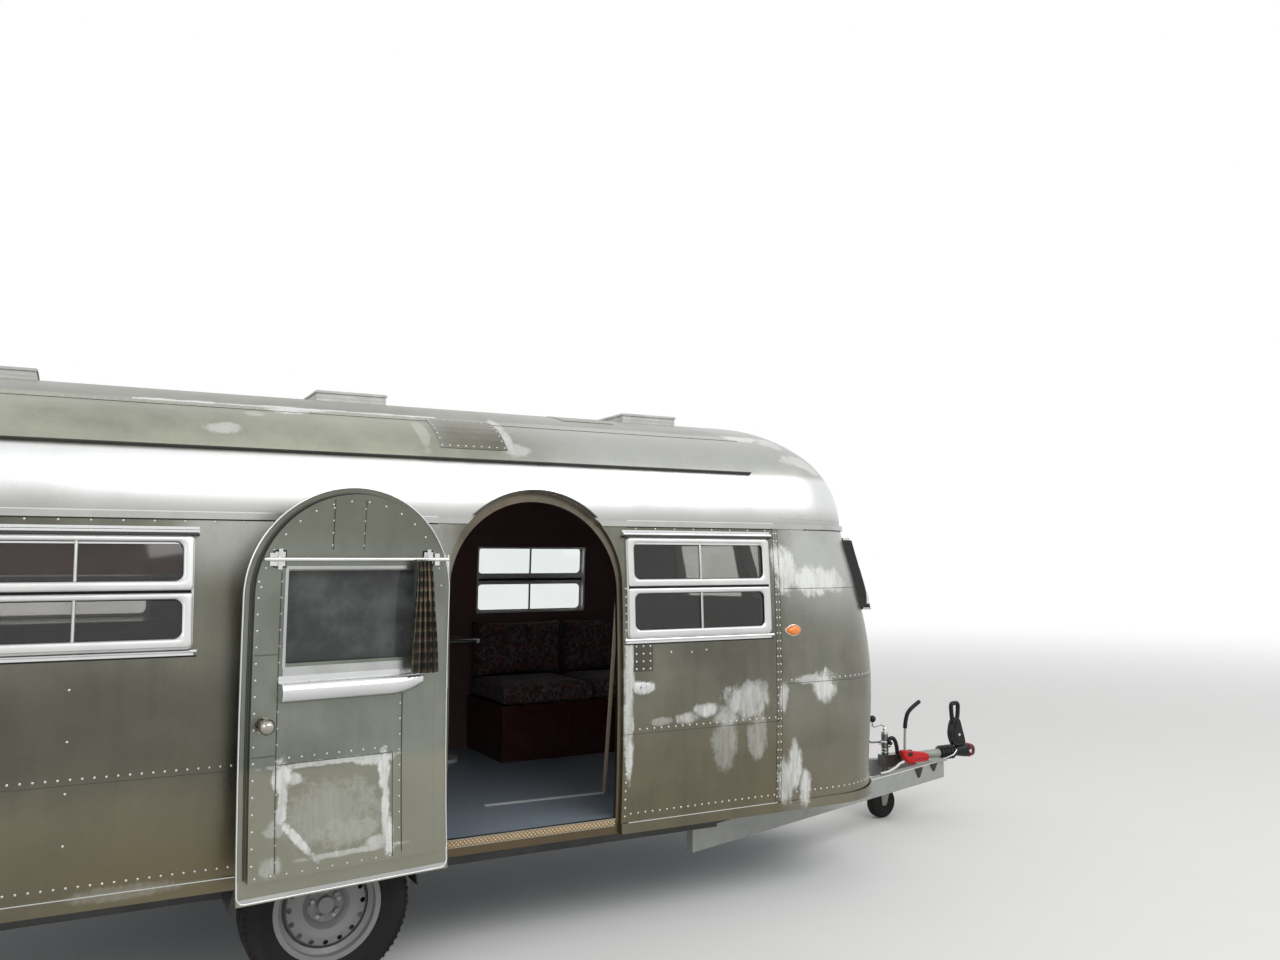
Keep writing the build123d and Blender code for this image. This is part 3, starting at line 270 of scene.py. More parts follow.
class Solid:
    """Points and faces gathered for one piece."""

    def __init__(self):
        self.points = []
        self.faces = []

    def loft(self, rings, closed=False):
        """Faces from ring to ring, which have as many points each; closed joins the last one to the first."""
        start, count = len(self.points), len(rings[0])
        self.points += [tuple(point) for ring in rings for point in ring]
        for i in range(len(rings) - (not closed)):
            low, high = start + i * count, start + (i + 1) % len(rings) * count
            for k in range(count):
                beside = (k + 1) % count
                self.faces.append((low + k, low + beside, high + beside, high + k))
        if not closed:
            last = len(self.points) - count
            self.faces += [tuple(reversed(range(start, start + count))), tuple(range(last, last + count))]

    def block(self, low, high, turn=Matrix()):
        """A block between two corners, turned by a matrix."""
        ends = ((low[1], low[2]), (high[1], low[2]), (high[1], high[2]), (low[1], high[2]))
        self.loft([[turn @ Vector((x, y, z)) for y, z in ends] for x in (low[0], high[0])])

    def tube(self, path, radius, sides=10, closed=False):
        """A round tube along a path of points; radius is one number or one for each point."""
        path = [Vector(p) for p in path]
        count = len(path)
        radii = radius if hasattr(radius, "__len__") else [radius] * count
        side, rings = None, []
        for i, point in enumerate(path):
            before = path[(i - 1) % count] if closed or i > 0 else point
            after = path[(i + 1) % count] if closed or i < count - 1 else point
            along = (after - before).normalized()
            if side is None:
                side = along.orthogonal().normalized()
            side = (side - along * side.dot(along)).normalized()
            rings.append(circle(point, side, along.cross(side), radii[i], sides))
        self.loft(rings, closed)

    def turned(self, profile, centre, axis, sides):
        """A form turned about an axis from pairs of distance along it and radius."""
        axis = Vector(axis).normalized()
        side = axis.orthogonal().normalized()
        self.loft([circle(Vector(centre) + axis * along, side, axis.cross(side), radius, sides)
                   for along, radius in profile])

    def piece(self, name, slot, angle=0, body="body", material=None):
        """The piece, with its faces turned outward, and smooth up to an angle in degrees."""
        mesh = bpy.data.meshes.new(name)
        mesh.from_pydata(self.points, [], self.faces)
        mesh.validate()
        shape = bmesh.new()
        shape.from_mesh(mesh)
        bmesh.ops.recalc_face_normals(shape, faces=shape.faces)
        shape.to_mesh(mesh)
        shape.free()
        piece = made_piece(name, mesh, material or finish_for(slot), body, slot)
        return smooth(piece, angle) if angle else piece


class Skin:
    """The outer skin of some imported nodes, for laying rivets and strips on it."""

    def __init__(self, names):
        points, faces = [], []
        for name in names:
            start = len(points)
            mesh = NODES[name].data
            points += [v.co.copy() for v in mesh.vertices]
            faces += [tuple(start + i for i in p.vertices) for p in mesh.polygons]
        self.tree = BVHTree.FromPolygons(points, faces)

    def hit(self, origin, direction, reach):
        """Where a ray strikes the skin, and the way the skin faces there, or None."""
        place, normal, _, _ = self.tree.ray_cast(Vector(origin), Vector(direction).normalized(), reach)
        return (place, normal) if place is not None else None


def unbroken(run):
    """The parts of a run of skin points that lie between its gaps."""
    parts = [[]]
    for found in run:
        if found is None:
            parts.append([])
        else:
            parts[-1].append(found)
    return [part for part in parts if len(part) > 1]


SHELL = ("side_wall_right", "side_wall_left", "roof_centre", "front_roof_end", "rear_roof_end", "front_end",
         "rear_end")
BODY_SKIN = Skin(SHELL)
WALL_LOW, WALL_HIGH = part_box("side_wall_left")
FRONT_SEAM, REAR_SEAM, HALF_WIDTH = WALL_HIGH.x, WALL_LOW.x, WALL_HIGH.y
MIDDLE = (FRONT_SEAM + REAR_SEAM) / 2
SHEET_SEAMS = (2270, -1430)


def walk(run, pitch):
    """Places at an even pitch along a run of skin points, apart from its gaps and jumps."""
    placed = []
    for part in unbroken(run):
        travelled, due = 0.0, pitch / 2
        for (a, a_normal), (b, b_normal) in zip(part, part[1:]):
            length = (b - a).length
            if length > LONGEST_STEP:
                continue
            while due <= travelled + length and length > 0:
                share = (due - travelled) / length
                placed.append((a.lerp(b, share), a_normal.lerp(b_normal, share).normalized()))
                due += pitch
            travelled += length
    return placed


def add_rivets(solid, places, radius, height, sides=8):
    """Domed heads at places on a skin, apart from those that missed it."""
    for point, normal in filter(None, places):
        side = normal.orthogonal().normalized()
        solid.loft([circle(point + normal * (lift * height), side, normal.cross(side), radius * share, sides)
                    for lift, share in ((-0.3, 1.0), (0.45, 0.85), (0.85, 0.5))])
        solid.faces.pop()
        top = len(solid.points)
        solid.points.append(tuple(point + normal * height))
        solid.faces += [(top - sides + k, top - sides + (k + 1) % sides, top) for k in range(sides)]


def plain_metal(name, colour, rough=0.28, metallic=1.0, wear=0.2, scale=18.0):
    """Bare or plated metal with faint wear."""
    graph = Graph(name)
    place = graph.place()
    cloud = graph.noise(place, scale * 0.4, 4.0, 0.6)
    fine = graph.noise(place, scale * 9, 2.0, 0.5)
    base = graph.mix(cloud.step(0.35, 0.75) * wear * 2, tuple(colour), times(colour, 0.62))
    base = graph.mix((fine - 0.5).clamped() * wear, base, times(colour, 0.4))
    return graph.finish(Base_Color=base, Metallic=metallic, Normal=graph.bump(fine, 0.05, 0.001),
                        Roughness=rough + 0.18 * (cloud - 0.5) + 0.1 * (fine - 0.5))


def painted(name, colour, rough, coat=0.0, grain=0.15, shine=0.5):
    """Paint or moulded plastic with a fine surface and a little dust."""
    graph = Graph(name)
    place = graph.place()
    cloud = graph.noise(place, 9.0, 4.0, 0.6)
    fine = graph.noise(place, 420.0, 2.0, 0.5)
    lifted = tuple(min(1, c * 0.85 + 0.03) for c in colour)
    base = graph.mix(cloud.step(0.42, 0.8) * 0.5, tuple(colour), lifted)
    return graph.finish(Base_Color=base, Roughness=rough + 0.2 * (cloud - 0.5), Coat_Weight=coat,
                        Specular_IOR_Level=shine, Normal=graph.bump(fine, grain, 0.0006))


def glass(name, colour, clear=1.0, rough=0.03, shine=0.5):
    """Window glass, a little dusty; the less clear it is, the darker."""
    graph = Graph(name)
    dust = graph.noise(graph.place(), 6.0, 4.0, 0.6)
    dusty = tuple(min(1, c * 2.2 + 0.02) for c in colour)
    base = graph.mix(dust.step(0.40, 0.75) * (1 - 0.85 * clear), colour, dusty)
    return graph.finish(Base_Color=base, Roughness=rough + 0.05 * dust.step(0.5, 0.9), IOR=1.5,
                        Transmission_Weight=clear, Specular_IOR_Level=shine)


FINISHES = {}


def spot(x, y, z):
    """A point given in millimetres from the wheel axle, the middle of the body and the ground."""
    return Vector((ahead(x * MM), y * MM, up(z * MM)))


def spots(*points):
    return [spot(*point) for point in points]


HINGE = Vector(DOOR_TURN["pos_m"])
DOOR_OPEN = (Matrix.Translation(HINGE) @ Matrix.Rotation(-radians(DOOR_TURN["range_deg"][1]), 4, "Z")
             @ Matrix.Translation(-HINGE))
DOOR_OUTWARD = DOOR_OPEN.to_3x3() @ Vector((0, -1, 0))
DOOR_SKIN = Skin(["door_panel"])


def door_spot(x, y, z):
    """A point on the open door, given where it is when the door is shut."""
    return DOOR_OPEN @ spot(x, y, z)


def door_face(x, z):
    """A point of the door's cabin side, and the way it faces."""
    return DOOR_SKIN.hit(door_spot(x, -900, z), DOOR_OUTWARD, 0.6)


def right_face(x, z):
    """A point of the skin on the entrance side, and the way it faces."""
    return BODY_SKIN.hit(spot(x, -3000, z), (0, 1, 0), 2.2)


def left_face(x, z):
    return BODY_SKIN.hit(spot(x, 3000, z), (0, -1, 0), 2.2)


def top_face(x, y):
    """A point of the roof's skin, and the way it faces."""
    return BODY_SKIN.hit(spot(x, y, 4000), (0, 0, -1), 3.0)


def end_face(skin, seam, sense):
    """A function from a heading, in degrees from the body's axis, and a height to a point of an end's skin."""
    def face(heading, z):
        turn = radians(heading)
        out = Vector((sense * cos(turn), sin(turn), 0))
        return skin.hit(Vector((seam, 0, up(z * MM))) + out * 3, -out, 2.6)
    return face


def run_of(face, start, end, count=60):
    """Skin points along a straight run, from a function that finds them."""
    return [face(*(a + (b - a) * i / count for a, b in zip(start, end))) for i in range(count + 1)]


def lay_strip(solid, run, width, height):
    """A thin flat strip along a run of skin points, with its width across the run."""
    for part in unbroken(run):
        rings = []
        for i, (point, normal) in enumerate(part):
            before, after = part[max(i - 1, 0)][0], part[min(i + 1, len(part) - 1)][0]
            across = normal.cross(after - before).normalized()
            rings.append([point + across * (side * width / 2) + normal * (lift * height)
                          for side, lift in ((-1, -0.3), (-1, 1), (1, 1), (1, -0.3))])
        solid.loft(rings)


def lay_line(solid, face, start, end, width, height, count=60):
    """A thin flat strip on a skin, straight from one place of it to another."""
    lay_strip(solid, run_of(face, start, end, count), width, height)


def lay_plate(solid, face, x, z, width, height, lift):
    """A thin plate that follows a skin, given its middle and size in millimetres."""
    columns = max(2, ceil(width / 60))
    rows = max(2, ceil(height / 60))
    top = {}
    for i in range(columns + 1):
        for k in range(rows + 1):
            found = face(x - width / 2 + width * i / columns, z - height / 2 + height * k / rows)
            if found is None:
                continue
            point, normal = found
            top[i, k] = len(solid.points)
            solid.points.append(tuple(point + normal * lift))
            solid.points.append(tuple(point - normal * lift * 0.3))
    for i in range(columns):
        for k in range(rows):
            corners = [(i, k), (i + 1, k), (i + 1, k + 1), (i, k + 1)]
            if all(c in top for c in corners):
                solid.faces.append(tuple(top[c] for c in corners))
    edge = ([(i, 0) for i in range(columns)] + [(columns, k) for k in range(rows)]
            + [(i, rows) for i in range(columns, 0, -1)] + [(0, k) for k in range(rows, 0, -1)])
    for a, b in zip(edge, edge[1:] + edge[:1]):
        if a in top and b in top:
            solid.faces.append((top[a], top[a] + 1, top[b] + 1, top[b]))


def blot(wobble, across, upward, middle, size):
    """A ragged soft patch: 1 near the middle and 0 outside, from two coordinates in metres."""
    wide = (across - middle[0]) / (size[0] / 2)
    tall = (upward - middle[1]) / (size[1] / 2)
    return 1 - (wide * wide + tall * tall + 4.4 * (wobble - 0.5)).step(0.35, 1.45)


RUBBED_PLACES = (
    # x, z, width, height in millimetres, strength: hand-rubbed bright places on the entrance side
    (2070, 1050, 200, 140, 0.60), (2130, 1075, 110, 110, 0.35), (1940, 985, 110, 90, 0.50),
    (1832, 1025, 110, 50, 0.75), (1712, 990, 90, 40, 0.60), (1560, 985, 90, 30, 0.35), (2280, 1770, 70, 130, 0.75),
    (2330, 1700, 100, 160, 0.90), (2520, 1660, 260, 110, 0.95), (2660, 1640, 140, 70, 0.60),
    (2570, 1100, 110, 120, 0.90), (2500, 1140, 200, 36, 0.60), (2298, 1060, 40, 130, 0.60),
    (2330, 640, 90, 170, 0.70), (2375, 690, 60, 200, 0.85), (2440, 570, 60, 130, 0.90), (2310, 560, 60, 80, 0.50),
    (1385, 1080, 40, 520, 0.65), (1390, 800, 30, 190, 0.85), (1400, 1330, 26, 170, 0.60),
    (1460, 1155, 90, 44, 0.85), (1935, 860, 110, 200, 0.30), (2130, 880, 90, 170, 0.35),
    (-160, 1240, 220, 70, 0.12), (-760, 520, 300, 40, 0.16),
)


def sheet_tone(graph, place):
    """Soft cloudy change of tone over a sheet, 0 to 1."""
    cloud = graph.noise(graph.scaled(place, (0.7, 0.7, 1.5)), 1.3, 4.0, 0.55)
    smear = graph.noise(graph.scaled(place, (2.2, 2.2, 0.9)), 3.2, 4.0, 0.60)
    return (0.72 * cloud + 0.28 * smear).step(0.30, 0.70)


def aged_metal(name, colour, rubbed=()):
    """Dull aluminium sheet with clouds and hand-rubbed bright places, and painted light and shade: a warm ground
    reflection low down, the open door's shadow and a brighter upper front.
    """
    graph = Graph(name)
    place = graph.place()
    x, y, z = graph.split(place)
    tone = sheet_tone(graph, place)
    streak = graph.noise(graph.scaled(place, (9.0, 9.0, 0.8)), 2.0, 3.0, 0.55)
    speck = graph.noise(place, 70.0, 3.0, 0.65)
    wobble = graph.noise(graph.scaled(place, (1.3, 1.3, 0.8)), 11.0, 6.0, 0.70)
    base = graph.mix((tone + 0.45 * (streak - 0.5)).clamped(), times(colour, 0.76),
                     times(colour, 1.30))
    # Painted reflection of the ground: warmer and browner towards the bottom.
    painted_ground_reflection = (tone * 0.6 + 0.4) * (1 - (z - up(0.92)).step(-0.40, 0.34)) * 0.8
    base = graph.mix(painted_ground_reflection, base, times(colour, 1.10, 0.90, 0.62))
    # Painted shadow of the open door on the wall behind the doorway, between 0.93 and 1.33 m up.
    dull = band(z, up(0.93), up(1.33), 0.12) * band(x, ahead(-1.6), ahead(0.42), 0.10) * (y < 0.0)
    base = graph.mix(dull * 0.45, base, times(colour, 0.5))
    # Painted light: brighter on the upper front end, on the upper wall between the windows and a little over the
    # whole front end.
    painted_light = ((z - up(1.50)).step(-0.16, 0.34) * (x - ahead(2.20)).step(0.0, 0.22)
             + (z - up(1.62)).step(0.0, 0.22) * band(x, ahead(-0.60), ahead(0.50), 0.08) * 0.6
             + (x - ahead(2.25)).step(0.0, 0.12) * 0.16)
    base = graph.mix((painted_light * (0.55 + 0.5 * tone)).clamped(), base, (0.46, 0.47, 0.45))
    base = graph.mix(speck.step(0.56, 0.84) * 0.22, base, times(colour, 0.4))
    rough = 0.30 + 0.14 * (streak - 0.5) + 0.14 * (tone - 0.5)
    if rubbed:
        brushed = graph.noise(graph.scaled(place, (52.0, 52.0, 6.0)), 1.0, 4.0, 0.7)
        worn = 0.0
        for px, pz, width, height, strength in rubbed:
            mask = blot(wobble, x, z, (ahead(px * MM), up(pz * MM)), (width * MM * 1.35, height * MM * 1.35))
            worn = (mask * strength).highest(worn)
        worn = (worn * (y < 0.0) * (0.15 + 1.7 * brushed)).clamped()
        base = graph.mix(worn, base, RUBBED)
        rough = rough + 0.16 * worn
    height = 0.35 * streak + 0.35 * speck + 3.2 * graph.noise(place, 3.4, 2.0, 0.5)
    return graph.finish(Base_Color=base, Metallic=0.94, Roughness=rough, Normal=graph.bump(height, 0.22, 0.004))


def end_window_beads():
    """Bright edges around the fronts of the end windows' frames."""
    frames = Skin(["end_window_frames"])
    low, high = ((corner.z - GROUND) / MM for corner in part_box("end_window_frames"))
    headings = [k * 0.5 for k in range(-180, 181)]
    beads = Solid()
    for seam, sense in ((FRONT_SEAM, 1), (REAR_SEAM, -1)):
        face = end_face(frames, seam, sense)
        for z in (low + 8, high - 8):
            lay_strip(beads, [face(heading, z) for heading in headings], 0.013, 0.0022)
        struck = [heading for heading in headings if face(heading, low + 12) is not None]
        starts = [a for a, b in zip(struck, [-200.0] + struck) if a - b > 1]
        stops = [a for a, b in zip(struck, struck[1:] + [300.0]) if b - a > 1]
        for heading in [start + 0.4 for start in starts] + [stop - 0.4 for stop in stops]:
            lay_strip(beads, [face(heading, low + (high - low) * k / 12) for k in range(13)], 0.013, 0.0022)
    beads.piece("end_window_beads", "polished_trim")


DOOR_RUBS = (
    # x, z of the shut door, width, height, strength
    (1190, 930, 56, 100, 0.85), (1150, 915, 50, 40, 0.60), (1186, 850, 26, 130, 0.75), (1193, 785, 34, 60, 0.85),
    (1215, 735, 70, 50, 0.35), (1010, 968, 420, 18, 0.60), (820, 955, 120, 30, 0.75), (775, 900, 36, 150, 0.90),
    (768, 770, 24, 300, 0.90), (752, 640, 32, 130, 0.95), (800, 630, 90, 40, 0.60), (900, 608, 300, 18, 0.50),
    (1000, 770, 300, 200, 0.20), (940, 690, 220, 90, 0.26), (1230, 600, 60, 70, 0.35),
)


def door_metal():
    """The door's sheets, with the rubbed border of its lower patch."""
    graph = Graph("door sheet")
    place = graph.place()
    x, _, z = graph.split(place)
    metal = finishes().metal
    colour = times(metal, 1.26, 1.36, 1.46)
    tone = sheet_tone(graph, graph.scaled(place, (1.7, 1.7, 1.1)))
    brushed = graph.noise(graph.scaled(place, (46.0, 46.0, 8.0)), 1.0, 4.0, 0.7)
    speck = graph.noise(place, 80.0, 3.0, 0.65)
    wobble = graph.noise(place, 16.0, 6.0, 0.74)
    base = graph.mix(tone, times(colour, 0.80), times(colour, 1.22))
    low = 1 - (z - up(0.93)).step(0.0, 0.06)
    base = graph.mix(low * 0.6, base, times(metal, 1.9, 1.85, 1.75))
    high = (z - up(1.78)).step(0.0, 0.12)
    base = graph.mix(high * 0.55, base, times(metal, 0.95, 0.92, 0.88))
    base = graph.mix(speck.step(0.55, 0.85) * 0.25, base, times(colour, 0.45))
    worn = 0.0
    for px, pz, width, height, strength in DOOR_RUBS:
        middle = door_spot(px, -1080, pz)
        mask = blot(wobble, x, z, (middle.x, middle.z), (width * MM * 1.3, height * MM * 1.3))
        worn = (mask * strength).highest(worn)
    start, end = door_spot(1190, -1080, 760), door_spot(1075, -1080, 622)
    run = hypot(end.x - start.x, end.z - start.z)
    cosine, sine = (end.x - start.x) / run, (end.z - start.z) / run
    along = (x - start.x) * cosine + (z - start.z) * sine
    aside = (z - start.z) * cosine - (x - start.x) * sine
    worn = (blot(wobble, along, aside, (run / 2, 0.0), (run * 1.25, 0.036)) * 0.9).highest(worn)
    facing = graph.split(graph.node("ShaderNodeTexCoord", {}, {}, "Normal"))
    outside = (facing[0] * DOOR_OUTWARD.x + facing[1] * DOOR_OUTWARD.y).step(0.3, 0.6)
    base = graph.mix(outside, base, graph.mix(tone, times(metal, 0.76), times(metal, 1.30)))
    worn = (worn * (0.15 + 1.7 * brushed) * (1 - outside)).clamped()
    base = graph.mix(worn, base, RUBBED)
    rough = 0.33 + 0.16 * (tone - 0.5) + 0.16 * worn
    height = 0.2 * brushed + 0.2 * speck + 2.6 * graph.noise(place, 6.0, 2.0, 0.5)
    return graph.finish(Base_Color=base, Metallic=0.92, Roughness=rough, Normal=graph.bump(height, 0.16, 0.004))


CHALK_PLACES = (
    # x, distance from the middle, width and depth in millimetres, strength: chalky places on the roof
    (-150, 735, 170, 90, 0.95), (-60, 700, 260, 40, 0.90), (-439, 929, 150, 60, 0.50), (-300, 800, 90, 60, 0.35),
    (835, 830, 60, 330, 0.65), (850, 960, 170, 60, 0.45), (420, 860, 60, 260, 0.30), (2330, 700, 240, 120, 0.80),
    (2470, 760, 160, 160, 0.70), (2560, 930, 260, 80, 0.60),
)


def roof_metal():
    """The roof's sheet: chalky above the gutters, with a painted highlight on the rounded eaves and a darker painted
    reflection just above the belt.
    """
    graph = Graph("roof sheet")
    place = graph.place()
    x, y, z = graph.split(place)
    colour = (0.335, 0.342, 0.278)
    tone = sheet_tone(graph, place)
    speck = graph.noise(place, 60.0, 3.0, 0.65)
    wobble = graph.noise(place, 10.0, 6.0, 0.76)
    streak = graph.noise(graph.scaled(place, (0.6, 6.0, 6.0)), 1.6, 3.0, 0.6)
    base = graph.mix((tone + 0.4 * (streak - 0.5)).clamped(), times(colour, 0.76),
                     times(colour, 1.25))
    # Lighter towards the front.
    lighter_forward = (x - ahead(0.5)).step(0.0, 0.9) * 0.75
    base = graph.mix(lighter_forward, base, (0.50, 0.51, 0.50))
    ridge = (1 - (abs(y) + 0.06 * (wobble - 0.5)).step(0.66, 0.70)) * band(x, REAR_SEAM, FRONT_SEAM, 0.30)
    base = graph.mix(ridge * 0.7, base, (0.20, 0.205, 0.175))
    # Painted highlight on the rounded eaves below the gutter, darkening to a painted reflection of the horizon just
    # above the belt.
    eave = 1 - z.step(up(2.195), up(2.235))
    under = z.step(up(1.955), up(2.075))
    shade = graph.mix(under, (0.44, 0.445, 0.42), (0.74, 0.75, 0.75))
    base = graph.mix(eave * (0.82 + 0.36 * tone).lowest(1.0), base, shade)
    chalk = (1 - (abs(abs(y) - 0.680) / 0.016 + 4.6 * (wobble - 0.5)).step(0.5, 1.3)) * (x < ahead(0.55)) \
        * (x > ahead(-0.78)) * 0.9
    for px, py, width, depth, strength in CHALK_PLACES:
        mask = blot(wobble, x, abs(y), (ahead(px * MM), py * MM), (width * MM, depth * MM))
        chalk = chalk.highest(mask * strength)
    base = graph.mix((chalk * (0.5 + streak)).clamped(), base, (0.80, 0.80, 0.79))
    base = graph.mix(speck.step(0.55, 0.82) * 0.25 * (1 - 0.7 * eave), base, times(colour, 0.45))
    rough = 0.32 + 0.16 * (tone - 0.5) + 0.14 * chalk
    height = 0.25 * speck + 2.6 * graph.noise(place, 3.6, 2.0, 0.5)
    return graph.finish(Base_Color=base, Metallic=0.92, Roughness=rough, Normal=graph.bump(height, 0.14, 0.004))


def lining_board():
    """Dark red-brown board of the cabin's walls."""
    graph = Graph("cabin lining board")
    place = graph.place()
    cloud = graph.noise(place, 2.5, 4.0, 0.6)
    fine = graph.noise(place, 220.0, 2.0, 0.6)
    colour = tuple(finishes().lining)
    base = graph.mix(cloud.step(0.35, 0.7), times(colour, 0.8), times(colour, 1.15))
    return graph.finish(Base_Color=base, Roughness=0.62 + 0.2 * (fine - 0.5), Normal=graph.bump(fine, 0.25, 0.0008))


def plaid_cloth():
    """Woven check of dark green and tan with thin red and cream lines, and painted shade in the hollows of the
    pleats.
    """
    graph = Graph("plaid curtain cloth")
    cloth = graph.node("ShaderNodeUVMap", {"uv_map": "cloth"}, {})
    u, v, _ = graph.split(cloth)
    thread = graph.noise(graph.scaled(cloth, (600.0, 900.0, 1.0)), 1.0, 2.0, 0.5)
    weave = []
    for axis, count in ((u, 7.0), (v, 11.0)):
        turn = (axis * count).fraction()
        weave.append((band(turn, 0.04, 0.58, 0.03), band(turn, 0.66, 0.73, 0.015),
                      band(turn, 0.84, 0.92, 0.015)))
    dark = (weave[0][0] + weave[1][0]) * 0.5
    red = (weave[0][1] + weave[1][1]) * 0.6
    pale = (weave[0][2] + weave[1][2]) * 0.5
    result = graph.mix(dark, (0.17, 0.15, 0.09), (0.004, 0.008, 0.005))
    result = graph.mix(red.clamped(), result, (0.26, 0.030, 0.02))
    result = graph.mix(pale.clamped(), result, (0.36, 0.33, 0.24))
    result = graph.mix((thread * 0.55).clamped(), result, (0.010, 0.012, 0.008))
    # Painted shade in the hollows of the curtain's pleats.
    painted_pleat_shade = (0.45 - 0.55 * (u * 8 * pi + 1.0).wave()).clamped()
    result = graph.mix(painted_pleat_shade * 0.75, result, (0.006, 0.007, 0.006))
    height = (u * 900.0).wave() * (v * 1900.0).wave() + thread
    return graph.finish(Base_Color=result, Roughness=0.95, Normal=graph.bump(height, 0.3, 0.0008))


def patterned_cloth():
    """Dark upholstery with a broken pattern of faded red-brown and blue-grey patches."""
    graph = Graph("patterned upholstery")
    place = graph.place()
    cells = graph.noise(place, 17.0, 1.0, 0.3)
    other = graph.noise(graph.scaled(place, (1.0, 1.3, 1.2)), 26.0, 1.0, 0.3)
    tuft = graph.noise(place, 160.0, 3.0, 0.6)
    faded = graph.noise(place, 4.0, 3.0, 0.6)
    leaf = band(cells, 0.52, 0.60, 0.02)
    flower = other.step(0.57, 0.62)
    base = graph.mix(leaf, (0.045, 0.016, 0.018), (0.13, 0.12, 0.15))
    base = graph.mix(flower * 0.9, base, (0.22, 0.085, 0.075))
    base = graph.mix(band(other, 0.34, 0.40, 0.02) * 0.8, base, (0.24, 0.20, 0.17))
    base = graph.mix((faded * 0.7).clamped(), base, (0.035, 0.020, 0.022))
    base = graph.mix((tuft * 0.4).clamped(), base, (0.02, 0.012, 0.014))
    return graph.finish(Base_Color=base, Roughness=0.88, Sheen_Weight=0.10, Normal=graph.bump(tuft, 0.4, 0.0012))


def tyre_rubber():
    """Worn road tyre with a dusty wall."""
    graph = Graph("tyre rubber")
    place = graph.place()
    dust = graph.noise(place, 7.0, 4.0, 0.65)
    fine = graph.noise(place, 260.0, 2.0, 0.6)
    base = graph.mix(dust.step(0.4, 0.8) * 0.6, (0.007, 0.007, 0.007), (0.035, 0.031, 0.026))
    return graph.finish(Base_Color=base, Roughness=0.80 + 0.2 * (dust - 0.5), Specular_IOR_Level=0.3,
                        Normal=graph.bump(fine, 0.2, 0.0006))


def cast_iron():
    """Black-coated castings with worn edges."""
    graph = Graph("black casting")
    place = graph.place()
    worn = graph.noise(place, 38.0, 4.0, 0.65)
    fine = graph.noise(place, 300.0, 2.0, 0.6)
    base = graph.mix(worn.step(0.58, 0.80) * 0.5, (0.007, 0.007, 0.008), (0.075, 0.075, 0.070))
    return graph.finish(Base_Color=base, Roughness=0.26 + 0.3 * (worn - 0.5), Specular_IOR_Level=0.32,
                        Normal=graph.bump(fine, 0.25, 0.0008))


def chequered_metal():
    """Worn strip with a fine raised lattice, as on a step."""
    graph = Graph("chequered strip")
    place = graph.place()
    x, _, z = graph.split(place)
    worn = graph.noise(place, 30.0, 4.0, 0.65)
    rise = (z - up(0.512)) * 52.0
    lattice = []
    for lean in (-1.0, 1.0):
        turn = (x * 52.0 + rise * lean).fraction()
        lattice.append(1 - abs(turn - 0.5).step(0.12, 0.24))
    bar = lattice[0].highest(lattice[1])
    base = graph.mix((bar * (0.6 + 0.8 * worn)).clamped(), (0.62, 0.49, 0.30), (0.22, 0.145, 0.075))
    return graph.finish(Base_Color=base, Metallic=0.25, Roughness=0.42 - 0.12 * bar,
                        Normal=graph.bump(bar, 0.8, 0.0012))


def vent_metal():
    """Weathered pale lid of a roof vent, with shallow ribs along it, and painted shade in the ribs' hollows and in
    thin level lines on its sides.
    """
    graph = Graph("vent lid")
    place = graph.place()
    _, y, z = graph.split(place)
    cloud = graph.noise(place, 7.0, 4.0, 0.65)
    rib = (y * 210.0).wave()
    line = (z * 300.0).wave()
    base = graph.mix(cloud.step(0.35, 0.75), (0.48, 0.48, 0.46), (0.72, 0.72, 0.70))
    # Painted shade: darker in the ribs' hollows and in thin level lines on the lid's sides.
    base = graph.mix((rib * -0.5).clamped() * 0.4 + (line * -0.6).clamped() * 0.4, base, (0.22, 0.22, 0.21))
    return graph.finish(Base_Color=base, Metallic=0.25, Roughness=0.45 + 0.2 * (cloud - 0.5),
                        Normal=graph.bump(rib, 0.5, 0.002))


